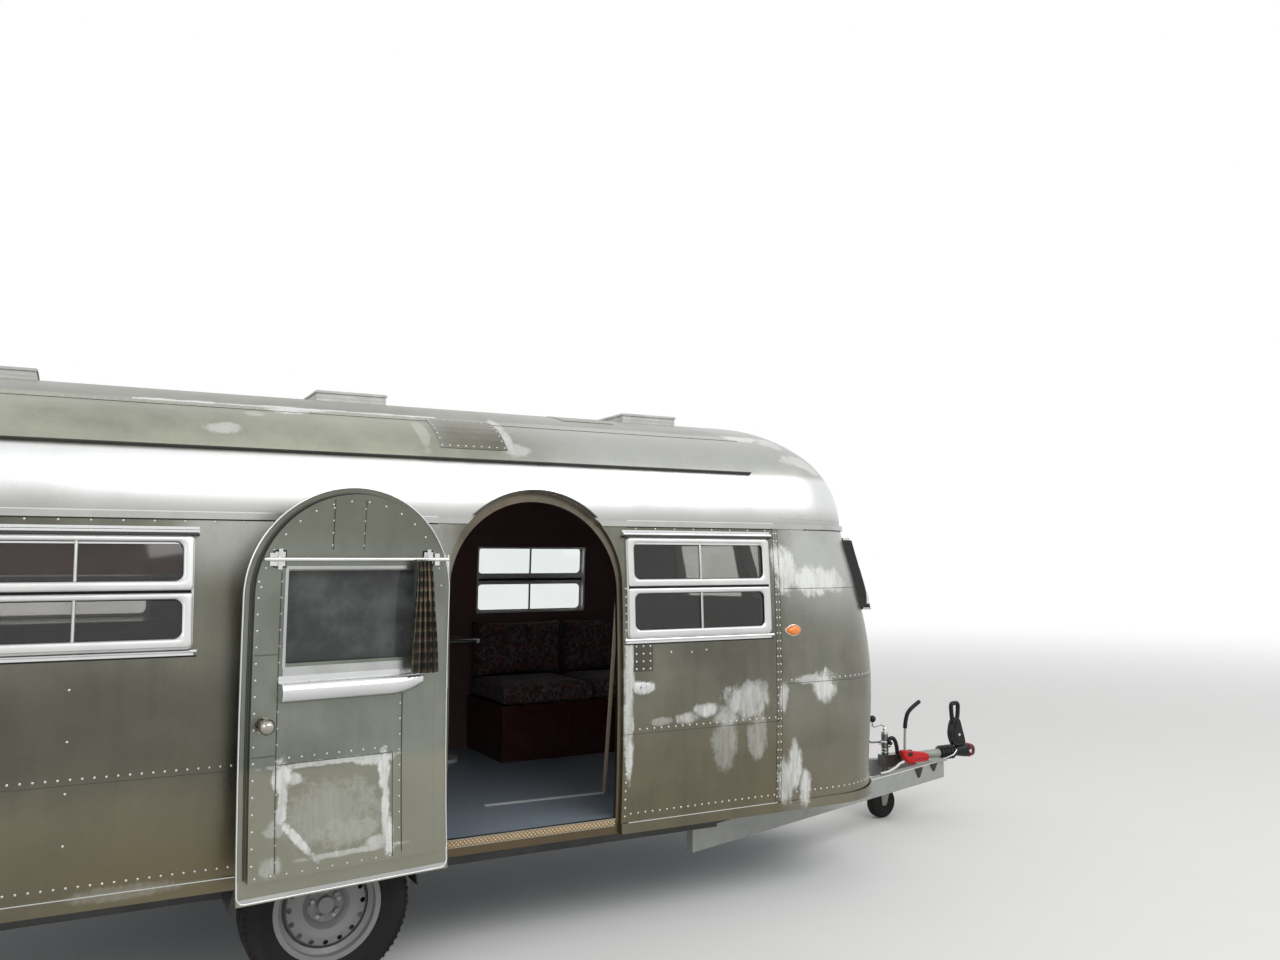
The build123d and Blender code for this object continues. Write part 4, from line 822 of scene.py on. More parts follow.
def finish_for(slot):
    """The material of a slot, or of a form that differs from its slot, made once."""
    if slot in FINISHES:
        return FINISHES[slot]
    f = finishes()
    makers = {
        "aluminium_skin": lambda: aged_metal("aged aluminium", tuple(f.metal), RUBBED_PLACES),
        "polished_trim": lambda: plain_metal("polished aluminium", tuple(f.bright), 0.24, 1.0, 0.10),
        "white_frames": lambda: plain_metal("window frame aluminium", tuple(f.frames), 0.34, 0.55, 0.12),
        "window_glass": lambda: glass("clear window glass", (0.86, 0.90, 0.89)),
        "chrome": lambda: plain_metal("chrome", (0.72, 0.72, 0.70), 0.10, 1.0, 0.15),
        "galvanised": lambda: plain_metal("galvanised steel", (0.36, 0.37, 0.35), 0.60, 0.40, 0.10, 26.0),
        "black_steel": lambda: painted("black steel", (0.010, 0.010, 0.011), 0.42, shine=0.3),
        # The wheel paint is darker than bright silver: partly its own colour, partly painted shade.
        "wheel_silver": lambda: painted("silver wheel paint", (0.19, 0.195, 0.19), 0.40, 0.2),
        "tyre": tyre_rubber,
        "red_plastic": lambda: painted("red plastic", tuple(f.red), 0.30, 0.0, 0.1, 0.30),
        "black_plastic": lambda: painted("black plastic", (0.008, 0.008, 0.009), 0.36, shine=0.35),
        "black_rubber": lambda: painted("black rubber", (0.011, 0.011, 0.011), 0.60, shine=0.25),
        "amber_lens": lambda: painted("amber lens", tuple(f.amber), 0.12, 0.6, 0.02),
        "red_lens": lambda: painted("red lens", (0.45, 0.01, 0.01), 0.12, 0.6, 0.02),
        "floor_covering": lambda: painted("floor covering", (0.20, 0.24, 0.285), 0.40),
        "plaid_cloth": plaid_cloth,
        "patterned_cloth": patterned_cloth,
        "dark_wood": lambda: painted("red-brown wood", tuple(f.wood), 0.35, 0.3),
        # The table board's pale bluish colour is painted reflection of the sky.
        "table_top": lambda: painted("table board", (0.70, 0.72, 0.74), 0.16, 0.8, 0.02),
        "white_lid": vent_metal,
        "door sheet": door_metal,
        "roof sheet": roof_metal,
        "casting": cast_iron,
    }
    FINISHES[slot] = makers[slot]()
    return FINISHES[slot]


def half_width(z):
    """Half of the body's width at a height, in millimetres: the sides bow outward."""
    radius, widest = 8500.0, 1150.0
    return HALF_WIDTH / MM - radius + sqrt(radius ** 2 - (z - widest) ** 2)


def smooth(piece, angle):
    """Shades a piece smooth, with its edges kept sharp."""
    piece.data.shade_smooth()
    piece.data.set_sharp_from_angle(angle=radians(angle))
    return piece


SIDE_WINDOWS = (
    # x0, x1, z0, z1 in millimetres, swung out by this many degrees on the entrance side
    (1377, 2219, 1390, 1878, 0.0),
    (-1380, -553, 1420, 1864, 7.0),
)


def rounded_box(u0, u1, v0, v1, radius, steps=7):
    """The outline of a box with round corners."""
    outline = []
    for cu, cv, turn in ((u1 - radius, v1 - radius, 0), (u0 + radius, v1 - radius, 90),
                         (u0 + radius, v0 + radius, 180), (u1 - radius, v0 + radius, 270)):
        for k in range(steps + 1):
            angle = radians(turn + 90 * k / steps)
            outline.append((cu + radius * cos(angle), cv + radius * sin(angle)))
    return outline


def window_frame(solid, place, outer, inner, profile):
    """A frame between two outlines of as many points, from pairs of share across and height over the skin."""
    solid.loft([[place(u0 + (u1 - u0) * share, v0 + (v1 - v0) * share, out)
                 for (u0, v0), (u1, v1) in zip(outer, inner)] for share, out in profile], closed=True)


def window_pane(solid, place, outline, low, high):
    solid.loft([[place(u, v, out) for u, v in outline] for out in (low, high)])


def window_bar(solid, place, u0, u1, v0, v1, low, high, ease):
    """A straight bar with eased front edges."""
    solid.loft([[place(u, v, out) for u, v in ((u0 + inset, v0 + inset), (u1 - inset, v0 + inset),
                                               (u1 - inset, v1 - inset), (u0 + inset, v1 - inset))]
                for inset, out in ((0, low), (0, high - ease), (ease, high))])


def door_arch(radius, height, count=40):
    """An arch over the door's middle, from its radius and the height of its centre in millimetres."""
    return [(DOOR_MIDDLE + radius * cos(pi * k / count), height + radius * sin(pi * k / count))
            for k in range(count + 1)]


SASH_PROFILE = ((0, 10.4), (0, 14), (0.03, 17), (0.10, 18.5), (0.72, 18.5), (0.86, 17), (1, 11), (1, -4), (0.55, -4),
                (0.55, 10.4))


def sash_place(x_middle, z_low, z_high, ajar, side):
    """A function from across, up and out in a sash's plane to a point; up is measured from its top edge."""
    y_low, y_high = -half_width(z_low), -half_width(z_high)
    lean = atan2(y_high - y_low, z_high - z_low) + radians(ajar)

    def place(u, v, out):
        y = y_high + v * sin(lean) - out * cos(lean)
        return spot(x_middle + u, -side * y, z_high + v * cos(lean) + out * sin(lean))
    return place


class CARAVAN_OT_windows(bpy.types.Operator):
    """The two sashes of each side window with their bars and panes."""

    bl_idname = "caravan.windows"
    bl_label = "Side windows"

    def execute(self, context):
        frames, bars, near, far, seals = Solid(), Solid(), Solid(), Solid(), Solid()
        for side in (-1, 1):
            for x0, x1, z0, z1, swing in SIDE_WINDOWS:
                ajar = swing if side < 0 else 0.0
                middle = (x0 + x1) / 2
                split = (z0 + z1) / 2
                half = (x1 - x0) / 2 - 5
                panes = near if side < 0 else far
                for z_low, z_high, above, below in ((z0 + 5, split - 5, 24, 34), (split + 5, z1 - 6, 20, 34)):
                    place = sash_place(middle, z_low, z_high, ajar, side)
                    tall = z_high - z_low
                    outer = rounded_box(-half, half, -tall, 0, 14)
                    inner = rounded_box(-half + 36, half - 36, -tall + below, -above, 30)
                    window_frame(frames, place, outer, inner, SASH_PROFILE)
                    window_frame(seals, place, inner, [(u * 0.993, v + (4 if v < -tall / 2 else -4) * 0.7)
                                                       for u, v in inner], ((0, 3), (0, 8), (1, 8), (1, 3)))
                    window_pane(panes, place, [(u * 1.005, v) for u, v in inner], 0, 3)
                    window_bar(bars, place, -6, 6, -tall + below - 2, -above + 2, 3.5, 15, 2.5)
                place = sash_place(middle, split, z1, 0.0, side)
                drop = split - z1
                window_bar(frames, place, -half + 2, half - 2, drop + 6, drop + 13, 10.6, 23 + ajar * 2.6, 2.5)
                window_bar(seals, place, -half + 4, half - 4, drop - 7, drop + 7, -6, 12, 1)
        sashes = frames.piece("window_sashes", "white_frames", 40)
        bars.piece("window_bars", "polished_trim", material=plain_metal("window bar metal", (0.55, 0.56, 0.55), 0.3))
        seals.piece("window_seals", "black_rubber")
        # The near panes are tinted darker than the far ones: painted shade of the dark cabin behind them.
        near_panes = near.piece("near_window_panes", "window_glass",
                                material=glass("near glass darkened as painted shade", (0.36, 0.34, 0.32), 1.0, 0.03, 0.22))
        far.piece("far_window_panes", "window_glass")
        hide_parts("side_window_sashes")
        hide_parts("side_window_glass")

        end_window_beads()
        caps, brackets, shadows = Solid(), Solid(), Solid()
        for face in (right_face, left_face):
            for x0, x1, z0, z1, _ in SIDE_WINDOWS:
                lay_line(caps, face, (x0 - 16, z1 + 22), (x1 + 16, z1 + 22), 0.026, 0.0030, 40)
                lay_line(brackets, face, (x0 - 4, z0 - 14), (x1 + 4, z0 - 14), 0.020, 0.0030, 40)
                # The black tubes under the rain caps and under the foot strips are painted shadow lines.
                for solid, z, out, radius in ((caps, z1 + 14, 0.010, 0.0095), (shadows, z1 + 3, 0.009, 0.0050),
                                              (brackets, z0 - 8, 0.006, 0.0065), (shadows, z0 - 28, 0.0, 0.0030)):
                    run = [point + normal * out for point, normal in
                           run_of(face, (x0 - 16, z), (x1 + 16, z), 24)]
                    solid.tube(run, radius, 12)
        shadows.piece("window_cap_shadow_lines", "black_rubber")
        caps.piece("window_rain_caps", "polished_trim")
        brackets.piece("window_foot_strips", "polished_trim")

        blinds, battens = Solid(), Solid()
        x0, x1, *_ = SIDE_WINDOWS[1]
        for k in range(25):
            x = x0 + 20 + (x1 - x0 - 40) * k / 24
            for z in (1712, 1855):
                blinds.points.append(tuple(spot(x, -half_width(1760) + 62 + 2 * (k % 2), z)))
        blinds.faces += [(2 * k, 2 * k + 2, 2 * k + 3, 2 * k + 1) for k in range(24)]
        blind = blinds.piece("window_blind", "dark_wood", 180,
                             material=painted("red-brown blind", (0.20, 0.055, 0.035), 0.8, 0.0, 0.3))
        battens.tube(spots(*[(x, -half_width(1760) + 60, 1706) for x in (x0 + 16, (x0 + x1) / 2, x1 - 16)]), 0.007, 8)
        battens.piece("blind_batten", "white_frames", 180)
        return {"FINISHED"}


class CARAVAN_OT_nodes(bpy.types.Operator):
    """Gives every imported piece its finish."""

    bl_idname = "caravan.nodes"
    bl_label = "Finish the packed pieces"

    def execute(self, context):
        for part in frame["record"]["subparts"]:
            dress(part["node"], finish_for(part["material_slot"]))
        metal = tuple(finishes().metal)
        # The door surround is darker and browner than the skin: painted reflection of the ground.
        dull = aged_metal("surround with painted ground reflection", times(metal, 0.78, 0.68, 0.64))
        # Dark steel for the chassis under the body.
        under = plain_metal("dark chassis steel", (0.075, 0.075, 0.072), 0.6, 0.6, 0.3, 14.0)
        roof = finish_for("roof sheet")
        others = {"door_panel": finish_for("door sheet"), "front_roof_end": roof, "rear_roof_end": roof,
                  "roof_centre": roof, "bottom_trim": finish_for("aluminium_skin"), "door_surround": dull,
                  "belt_moulding": plain_metal("belt moulding", (0.50, 0.50, 0.48), 0.30, 0.9, 0.2),
                  "end_window_frames": painted("window gasket", (0.018, 0.018, 0.017), 0.5, shine=0.3),
                  # The ledges under the rain caps are dark as a painted shadow line.
                  "rain_ledges": plain_metal("ledge painted as cap shadow", (0.05, 0.05, 0.045), 0.5, 0.5),
                  # The door's glass is darkened as painted shade of the wall behind it.
                  "door_glass": glass("door glass darkened as painted shade", (0.045, 0.049, 0.047), 0.20, 0.12, 0.35),
                  # The knob's darker, warm chrome is partly worn plating and partly painted brownish reflection.
                  "door_knob": plain_metal("worn chrome with painted reflection", (0.40, 0.38, 0.34), 0.10),
                  "overrun_housing": finish_for("galvanised"),
                  "overrun_tube": plain_metal("bright tube", (0.74, 0.75, 0.74), 0.32, 0.6, 0.1)}
        others |= dict.fromkeys(("main_rails", "cross_members", "axle_beam", "suspension_arms", "wheel_boxes"), under)
        for name, material in others.items():
            dress(name, material)
        return {"FINISHED"}


class CARAVAN_OT_lining(bpy.types.Operator):
    """The brown lining on the cabin side of the walls, ends and roof."""

    bl_idname = "caravan.lining"
    bl_label = "Cabin lining"

    def execute(self, context):
        made = bmesh.new()
        for name in SHELL:
            mesh = NODES[name].data
            for face in mesh.polygons:
                middle = Vector((min(max(face.center.x, REAR_SEAM), FRONT_SEAM), 0, up(1.3)))
                if face.normal.dot((middle - face.center).normalized()) > 0.6:
                    made.faces.new([made.verts.new(mesh.vertices[v].co + face.normal * 0.0015)
                                    for v in face.vertices])
        bmesh.ops.remove_doubles(made, verts=made.verts[:], dist=0.0012)
        mesh = bpy.data.meshes.new("cabin_lining")
        made.to_mesh(mesh)
        made.free()
        smooth(made_piece("cabin_lining", mesh, lining_board(), "body", "dark_wood"), 35)
        return {"FINISHED"}


SIDES = ((right_face, ((-1415, 445), (1385, 2255))), (left_face, ((-1415, 2255),)))
ENDS = (end_face(BODY_SKIN, FRONT_SEAM, 1), end_face(BODY_SKIN, REAR_SEAM, -1))


class CARAVAN_OT_seams(bpy.types.Operator):
    """The laps of the skin's sheets, with a dark line of painted shadow or a bright line along each edge."""

    bl_idname = "caravan.seams"
    bl_label = "Sheet seams"

    def execute(self, context):
        laps, tops, lines, ridges = Solid(), Solid(), Solid(), Solid()
        runs = []
        for face, stretches in SIDES:
            for x0, x1 in stretches:
                runs.append((face, (x0 - 15, 947), (x1 + 15, 947), 11))
            for x in SHEET_SEAMS:
                runs.append((face, (x, 522), (x, 1926), 16))
        for face in ENDS:
            for z in (1134, 1626):
                runs.append((face, (-88, z), (88, z), 9))
        for face, start, end, half in runs:
            lay_line(laps, face, start, end, 2 * half * MM, 0.0008, 90)
            sideways = start[0] == end[0]
            for sign in ((-1, 1) if sideways else (-1,)):
                shift = (sign * half, 0) if sideways else (0, sign * half)
                moved = [tuple(a + b for a, b in zip(point, shift)) for point in (start, end)]
                lay_line(lines, face, *moved, 0.0025, 0.0010, 90)
        back, front = (REAR_SEAM - AXLE_X) / MM, (FRONT_SEAM - AXLE_X) / MM
        for side in (-1, 1):
            lay_line(tops, top_face, (back, side * 735), (front, side * 735), 0.03, 0.0009)
            lay_line(lines, top_face, (back, side * 750), (front, side * 750), 0.003, 0.0012)
        for face, stretches in ((right_face, ((-1430, 440), (1390, 2262))), (left_face, ((-1430, 2262),))):
            for x0, x1 in stretches:
                lay_line(lines, face, (x0, BELT_LINE), (x1, BELT_LINE), 0.005, 0.0012)
                lay_line(ridges, face, (x0, BELT_TOP), (x1, BELT_TOP), 0.006, 0.0030)
                lay_line(ridges, face, (x0, SKIRT_LINE), (x1, SKIRT_LINE), 0.004, 0.0080)
        for face in ENDS:
            lay_line(lines, face, (-80, BELT_LINE), (80, BELT_LINE), 0.005, 0.0012)
            for side in (-1, 1):
                lay_line(tops, face, (side * 88, 2000), (side * 62, 1990), 0.022, 0.0008, 20)
                lay_line(tops, face, (side * 88, 1989), (side * 62, 1979), 0.0025, 0.0020, 20)
        tops.piece("roof_laps", "aluminium_skin", material=finish_for("roof sheet"))
        laps.piece("sheet_laps", "aluminium_skin")
        # The dark lines along the laps and under the belt are painted shadow.
        lines.piece("lap_shadow_lines", "aluminium_skin",
                    material=plain_metal("painted lap shadow", (0.05, 0.05, 0.045), 0.6, 0.3))
        ridges.piece("bright_edges", "polished_trim")
        return {"FINISHED"}


class CARAVAN_OT_rivets(bpy.types.Operator):
    """Rows of rivets along the seams of the body and the door."""

    bl_idname = "caravan.rivets"
    bl_label = "Rivets"

    def execute(self, context):
        size = details()
        pitch = size.rivet_pitch
        body, door = Solid(), Solid()
        rows = []
        for face, stretches in SIDES:
            for x0, x1 in stretches:
                rows += [(face, (x0, z), (x1, z), step) for z, step in ((956, pitch), (560, pitch), (1921, 0.11))]
            for x in (2262, 2280, -1422, -1440):
                rows.append((face, (x, 528), (x, 1925), pitch))
        for face in ENDS:
            rows += [(face, (-87, 1142), (87, 1142), pitch), (face, (-87, 560), (87, 560), pitch),
                     (face, (-87, 1921), (87, 1921), 0.11)]
        rows += [(right_face, (1374, 530), (1374, 1640), pitch), (right_face, (456, 530), (456, 1640), pitch),
                 (right_face, (-970, 1380), (-970, 620), 0.19)]
        for side in (-1, 1):
            rows.append((top_face, (-1420, side * 728), (2260, side * 728), pitch))
        for face, start, end, step in rows:
            add_rivets(body, walk(run_of(face, start, end, 160), step), size.rivet_radius, size.rivet_height)
        small = [right_face(x, z) for x, z in ((1621, 1317), (1739, 1312), (1825, 1320))]
        add_rivets(body, small, size.rivet_radius, size.rivet_height)
        door_rows = (((1302, 1715), (1302, 575), 0.063), ((1214, 1715), (1214, 575), 0.063),
                     ((1019, 2000), (1019, 1815), 0.05), ((888, 2000), (888, 1815), 0.05),
                     ((740, 1000), (1200, 1000), 0.05), ((708, 575), (708, 1215), 0.063),
                     ((508, 1600), (508, 575), 0.093), ((720, 566), (1300, 566), 0.06))
        for start, end, step in door_rows:
            add_rivets(door, walk(run_of(door_face, start, end, 120), step), size.rivet_radius * 0.9,
                       size.rivet_height)
        arch = [door_face(x, z) for x, z in door_arch(380, 1625, 60)]
        add_rivets(door, walk(arch, 0.075), size.rivet_radius * 0.9, size.rivet_height)
        metal = plain_metal("bright rivets", (0.62, 0.62, 0.59), 0.3)
        body.piece("body_rivets", "aluminium_skin", 60, material=metal)
        door.piece("door_rivets", "aluminium_skin", 60, "entrance_door", material=metal)
        return {"FINISHED"}


class CARAVAN_OT_door(bpy.types.Operator):
    """The sheets, strips, edge bead and seal of the open door."""

    bl_idname = "caravan.door"
    bl_label = "Door"

    def execute(self, context):
        sheets, lines, bright, gaskets, plates, rod, bead, seal = (Solid() for _ in range(8))
        for x, z, width, height, lift in ((966, 1118, 500, 230, 0.0012), (975, 768, 470, 416, 0.0014),
                                          (604, 905, 192, 690, 0.0010), (952, 1905, 131, 190, 0.0010)):
            lay_plate(sheets, door_face, x, z, width, height, lift)
        for start, end in (((1216, 570), (1216, 1722)), ((1017, 1810), (1017, 2010)), ((887, 1810), (887, 2010)),
                           ((1216, 1401), (1308, 1401)), ((1216, 1013), (1308, 1013)), ((740, 977), (1210, 977)),
                           ((740, 977), (740, 562)), ((700, 1215), (700, 575))):
            lay_line(lines, door_face, start, end, 0.0024, 0.0034)
        for start, end, count, width, height in (((700, 1327), (1200, 1327), 40, 0.047, 0.0030),
                                                 ((1197, 1345), (1197, 1735), 20, 0.012, 0.0030),
                                                 ((700, 1738), (1200, 1738), 20, 0.012, 0.0030),
                                                 ((492, 480), (1338, 480), 40, 0.020, 0.0014)):
            lay_line(bright, door_face, start, end, width, height, count)
        for x in (1228, 604):
            lay_plate(gaskets, door_face, x, 1772, 50, 68, 0.0030)
            lay_plate(plates, door_face, x, 1772, 40, 56, 0.0060)
            lay_plate(plates, door_face, x, 1772, 16, 80, 0.0120)
        rod.tube([door_spot(x, -half_width(1795) + 74.5, 1770) for x in (528, 700, 900, 1100, 1290)], 0.0078, 14)
        corner, half, bottom = 30, 432, 471
        heights = (1400, 1170, 940, 710)
        outline = door_arch(half, ARCH_HEIGHT) + [(DOOR_MIDDLE - half, z) for z in heights]
        for x, turn in ((DOOR_MIDDLE - half + corner, pi), (DOOR_MIDDLE + half - corner, 1.5 * pi)):
            outline += [(x + corner * cos(turn + pi * k / 12), bottom + corner + corner * sin(turn + pi * k / 12))
                        for k in range(7)]
        outline += [(DOOR_MIDDLE + half, z) for z in reversed(heights)]
        bead.tube([door_spot(x, -half_width(z) + 9.5, z) for x, z in outline], 0.0044, 10, closed=True)
        half, heights = 408, (560, 800, 1100, 1400)
        outline = ([(DOOR_MIDDLE + half, z) for z in heights] + door_arch(half, ARCH_HEIGHT)
                   + [(DOOR_MIDDLE - half, z) for z in reversed(heights)])
        seal.tube([door_spot(x, -half_width(z) + 15, z) for x, z in outline], 0.0034, 8)

        # Dark lines along the door's sheet edges: painted shadow.
        dull = plain_metal("painted sheet edge shadow", (0.08, 0.08, 0.07), 0.6, 0.3)
        for solid, name, slot, angle, material in (
                (sheets, "door_sheets", "aluminium_skin", 0, finish_for("door sheet")),
                (lines, "door_sheet_shadow_lines", "aluminium_skin", 0, dull),
                (bright, "door_bright_strips", "polished_trim", 0,
                 plain_metal("bright strip", (0.52, 0.53, 0.52), 0.3)),
                (gaskets, "bracket_gaskets", "black_rubber", 0, None),
                (plates, "rod_brackets", "polished_trim", 30, None),
                (rod, "rod_sleeve", "chrome", 50, None),
                (bead, "door_edge_bead", "polished_trim", 60, None),
                (seal, "door_seal", "black_rubber", 60, painted("grey door seal", (0.05, 0.05, 0.046), 0.6))):
            solid.piece(name, slot, angle, "entrance_door", material)
        return {"FINISHED"}


class CARAVAN_OT_tray(bpy.types.Operator):
    """The rolled sill under the door's window."""

    bl_idname = "caravan.tray"
    bl_label = "Window sill"

    def execute(self, context):
        solid = Solid()
        profile = [(1, 90), (1, 24), (4, 8), (13, -6), (28, -11), (44, -9), (57, 1), (65, 18), (66, 38), (60, 56),
                   (48, 66), (42, 63), (54, 53), (60, 38), (59, 20), (52, 5), (42, -3), (28, -6), (16, -1), (9, 11),
                   (5, 26), (5, 90)]
        end = ((3, 66), (3, 10), (18, -5), (44, -5), (62, 18), (62, 42), (50, 62))
        x0, x1, z0, columns = 628, 1216, 1226, 30
        inside = 44 - half_width(z0 + 70)
        rings = []
        for i in range(columns + 1):
            x = x0 + (x1 - x0) * i / columns
            pull = max(0, 1 - (x - x0) / 150) ** 2
            rings.append([door_spot(x, inside + out * (1 - 0.30 * pull), z0 + rise * (1 - 0.35 * pull) + 30 * pull)
                          for out, rise in profile])
        solid.loft(rings)
        solid.loft([[door_spot(x, inside + out, z0 + rise) for out, rise in end] for x in (x1 - 2, x1)])
        piece = solid.piece("rolled_sill", "polished_trim", 40, "entrance_door")
        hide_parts("sill_tray")
        return {"FINISHED"}


class CARAVAN_OT_curtain(bpy.types.Operator):
    """The pleated curtain at the door's window."""

    bl_idname = "caravan.curtain"
    bl_label = "Curtain"

    def execute(self, context):
        folds, columns, rows = 4, 96, 48
        top, bottom = 1764.0, 1300.0
        cloth = Solid()
        for k in range(rows + 1):
            down = k / rows
            z = top + (bottom - top) * down
            width = 58 + 54 * down ** 0.8
            depth = 5 + 11 * min(1, down * 2.0)
            for i in range(columns + 1):
                across = i / columns
                turn = 2 * pi * folds * across
                wave = sin(turn + 0.9 * sin(3.1 * down + 1.3)) + 0.28 * sin(2 * turn + 2.0 + 2.4 * down)
                x = 642 + (across - 0.5) * width - 8 * down + 5 * sin(2 * turn) * min(1, down * 3)
                cloth.points.append(tuple(door_spot(x, -1003 + depth * wave, z + 3.5 * sin(turn) * down)))
        for k in range(rows):
            for i in range(columns):
                a = k * (columns + 1) + i
                cloth.faces.append((a, a + 1, a + columns + 2, a + columns + 1))
        curtain = cloth.piece("pleated_curtain", "plaid_cloth", 180, "entrance_door")
        layer = curtain.data.uv_layers.new(name="cloth")
        for loop in curtain.data.loops:
            k, i = divmod(loop.vertex_index, columns + 1)
            layer.data[loop.index].uv = (i / columns, k / rows)
        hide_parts("curtain")

        rings = Solid()
        for k in range(5):
            x = 616 + 13 * k
            path = [door_spot(x + 2 * sin(turn), -1020 + 13 * cos(turn), 1769 + 11 * sin(turn)) for turn in turns(14)]
            rings.tube(path, 0.0012, 6, closed=True)
        rings.piece("curtain_rings", "chrome", 60, "entrance_door")
        return {"FINISHED"}


def cushion_form(name, low, high, crown, material):
    """A crowned cushion between two corners, with sides that pull in between its corners."""
    made = bmesh.new()
    bmesh.ops.create_cube(made, size=2.0)
    bmesh.ops.subdivide_edges(made, edges=made.edges[:], cuts=11, use_grid_fill=True)
    middle = (low + high) / 2
    half = (high - low) / 2
    thin = min(range(3), key=lambda k: half[k])
    flat = [k for k in range(3) if k != thin]
    for vertex in made.verts:
        u = vertex.co.copy()
        bulge = sqrt(max(0, (1 - u[flat[0]] ** 2) * (1 - u[flat[1]] ** 2)))
        for k, other in (flat, flat[::-1]):
            pull = 0.012 * (1 - u[other] ** 2)
            round_off = 1 - 0.05 * abs(u[thin]) ** 3 * half[thin] / half[k] * 3
            vertex.co[k] = middle[k] + u[k] * half[k] * (1 - pull) * round_off
        vertex.co[thin] = middle[thin] + u[thin] * (half[thin] * 0.82 + crown * bulge)
    mesh = bpy.data.meshes.new(name)
    made.to_mesh(mesh)
    made.free()
    piece = bpy.data.objects.new(name, mesh)
    bpy.context.scene.collection.objects.link(piece)
    mesh.materials.append(material)
    mesh.shade_smooth()
    return piece


def coordinates(mesh):
    flat = np.zeros(len(mesh.vertices) * 3, np.float32)
    mesh.vertices.foreach_get("co", flat)
    return flat.reshape(-1, 3)


def swell(piece, cap, voxel=0.010, pressure=4.0):
    """Fills a cushion by cloth simulation, with no point moved further than cap."""
    scene = bpy.context.scene
    cover = piece.modifiers.new("cover", "REMESH")
    cover.mode = "VOXEL"
    cover.voxel_size = voxel
    cover.use_smooth_shade = True
    depth = bpy.context.evaluated_depsgraph_get()
    mesh = bpy.data.meshes.new_from_object(piece.evaluated_get(depth))
    piece.modifiers.clear()
    spare = piece.data
    piece.data = mesh
    bpy.data.meshes.remove(spare)
    before = coordinates(mesh)
    air = piece.modifiers.new("air", "CLOTH")
    air.settings.use_pressure = True
    air.settings.uniform_pressure_force = pressure
    air.settings.effector_weights.gravity = 0
    for step in range(1, 21):
        scene.frame_set(step)
    depth = bpy.context.evaluated_depsgraph_get()
    blown = bpy.data.meshes.new_from_object(piece.evaluated_get(depth))
    move = coordinates(blown) - before
    length = np.linalg.norm(move, axis=1, keepdims=True)
    move *= np.minimum(1, cap / np.maximum(length, 1e-9))
    piece.modifiers.clear()
    mesh.vertices.foreach_set("co", (before + move).astype(np.float32).ravel())
    mesh.update()
    bpy.data.meshes.remove(blown)
    scene.frame_set(1)
    finer = piece.modifiers.new("finer", "SUBSURF")
    finer.levels = finer.render_levels = 1


class CARAVAN_OT_cushions(bpy.types.Operator):
    """The seat and back cushions of the bench."""

    bl_idname = "caravan.cushions"
    bl_label = "Cushions"

    def execute(self, context):
        low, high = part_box("bench_cushions")
        seat_top = low.z + 0.120
        cloth = finish_for("patterned_cloth")
        step = (high.x - low.x) / 2
        pieces = []
        for k in range(2):
            x0, x1 = low.x + step * k + 0.004, low.x + step * (k + 1) - 0.004
            seat = cushion_form(f"seat_cushion_{k + 1}", Vector((x0, low.y + 0.002, low.z)),
                                Vector((x1, high.y - 0.008, seat_top)), 0.010, cloth)
            back = cushion_form(f"back_cushion_{k + 1}", Vector((x0, high.y - 0.128, seat_top + 0.004)),
                                Vector((x1, high.y - 0.004, high.z)), 0.010, cloth)
            pieces += [seat, back]
        for piece in pieces:
            swell(piece, 0.012)
            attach(piece, "body")
        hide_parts("bench_cushions")
        return {"FINISHED"}


def ring_form(solid, profile, centre, sides):
    """A closed profile, as pairs of distance across and radius, turned about the Y axis."""
    solid.loft([[(centre.x + radius * cos(turn), centre.y + across, centre.z + radius * sin(turn))
                 for across, radius in profile] for turn in turns(sides)], closed=True)


class CARAVAN_OT_tyres(bpy.types.Operator):
    """The treaded tyres of the road wheels."""

    bl_idname = "caravan.tyres"
    bl_label = "Tyres"

    def execute(self, context):
        for side in ("left", "right"):
            node = f"tyre_{side}"
            low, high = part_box(node)
            centre = (low + high) / 2
            radius = (high.z - low.z) / 2
            half = (high.y - low.y) / 2
            tread = [(-0.082, radius - 0.006)]
            for groove in (-0.052, -0.018, 0.018, 0.052):
                for across, depth in ((-0.005, 0.0), (-0.0035, 0.008), (0.0035, 0.008), (0.005, 0.0)):
                    crown = 0.0035 * (abs(groove + across) / 0.08) ** 2
                    tread.append((groove + across, radius - crown - depth - 0.0005))
            tread.append((0.082, radius - 0.006))
            wall = [(0.092, radius - 0.016), (0.099, radius - 0.036), (half - 0.0005, radius - 0.068),
                    (half - 0.001, radius - 0.080), (half - 0.003, radius - 0.083), (0.096, radius - 0.105),
                    (0.088, radius - 0.124), (0.0830, 0.212)]
            inner = [(0.0815, 0.206), (0.070, 0.2045), (-0.070, 0.2045), (-0.0815, 0.206)]
            profile = tread + wall + inner + [(-a, r) for a, r in reversed(wall)]
            solid = Solid()
            ring_form(solid, profile, centre, 128)
            for turn in turns(72):
                for sign in (-1, 1):
                    spin = Matrix.Translation(centre) @ Matrix.Rotation(turn, 4, "Y")
                    lean = Matrix.Rotation(sign * 0.25, 4, "Z")
                    block = Matrix.Translation((radius - 0.0125, sign * 0.090, 0)) @ lean
                    solid.block((-0.006, -0.008, -0.0052), (0.006, 0.008, 0.0052), spin @ block)
            piece = solid.piece(f"treaded_tyre_{side}", "tyre", 32, f"road_wheel_{side}")
            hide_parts(node)
        return {"FINISHED"}


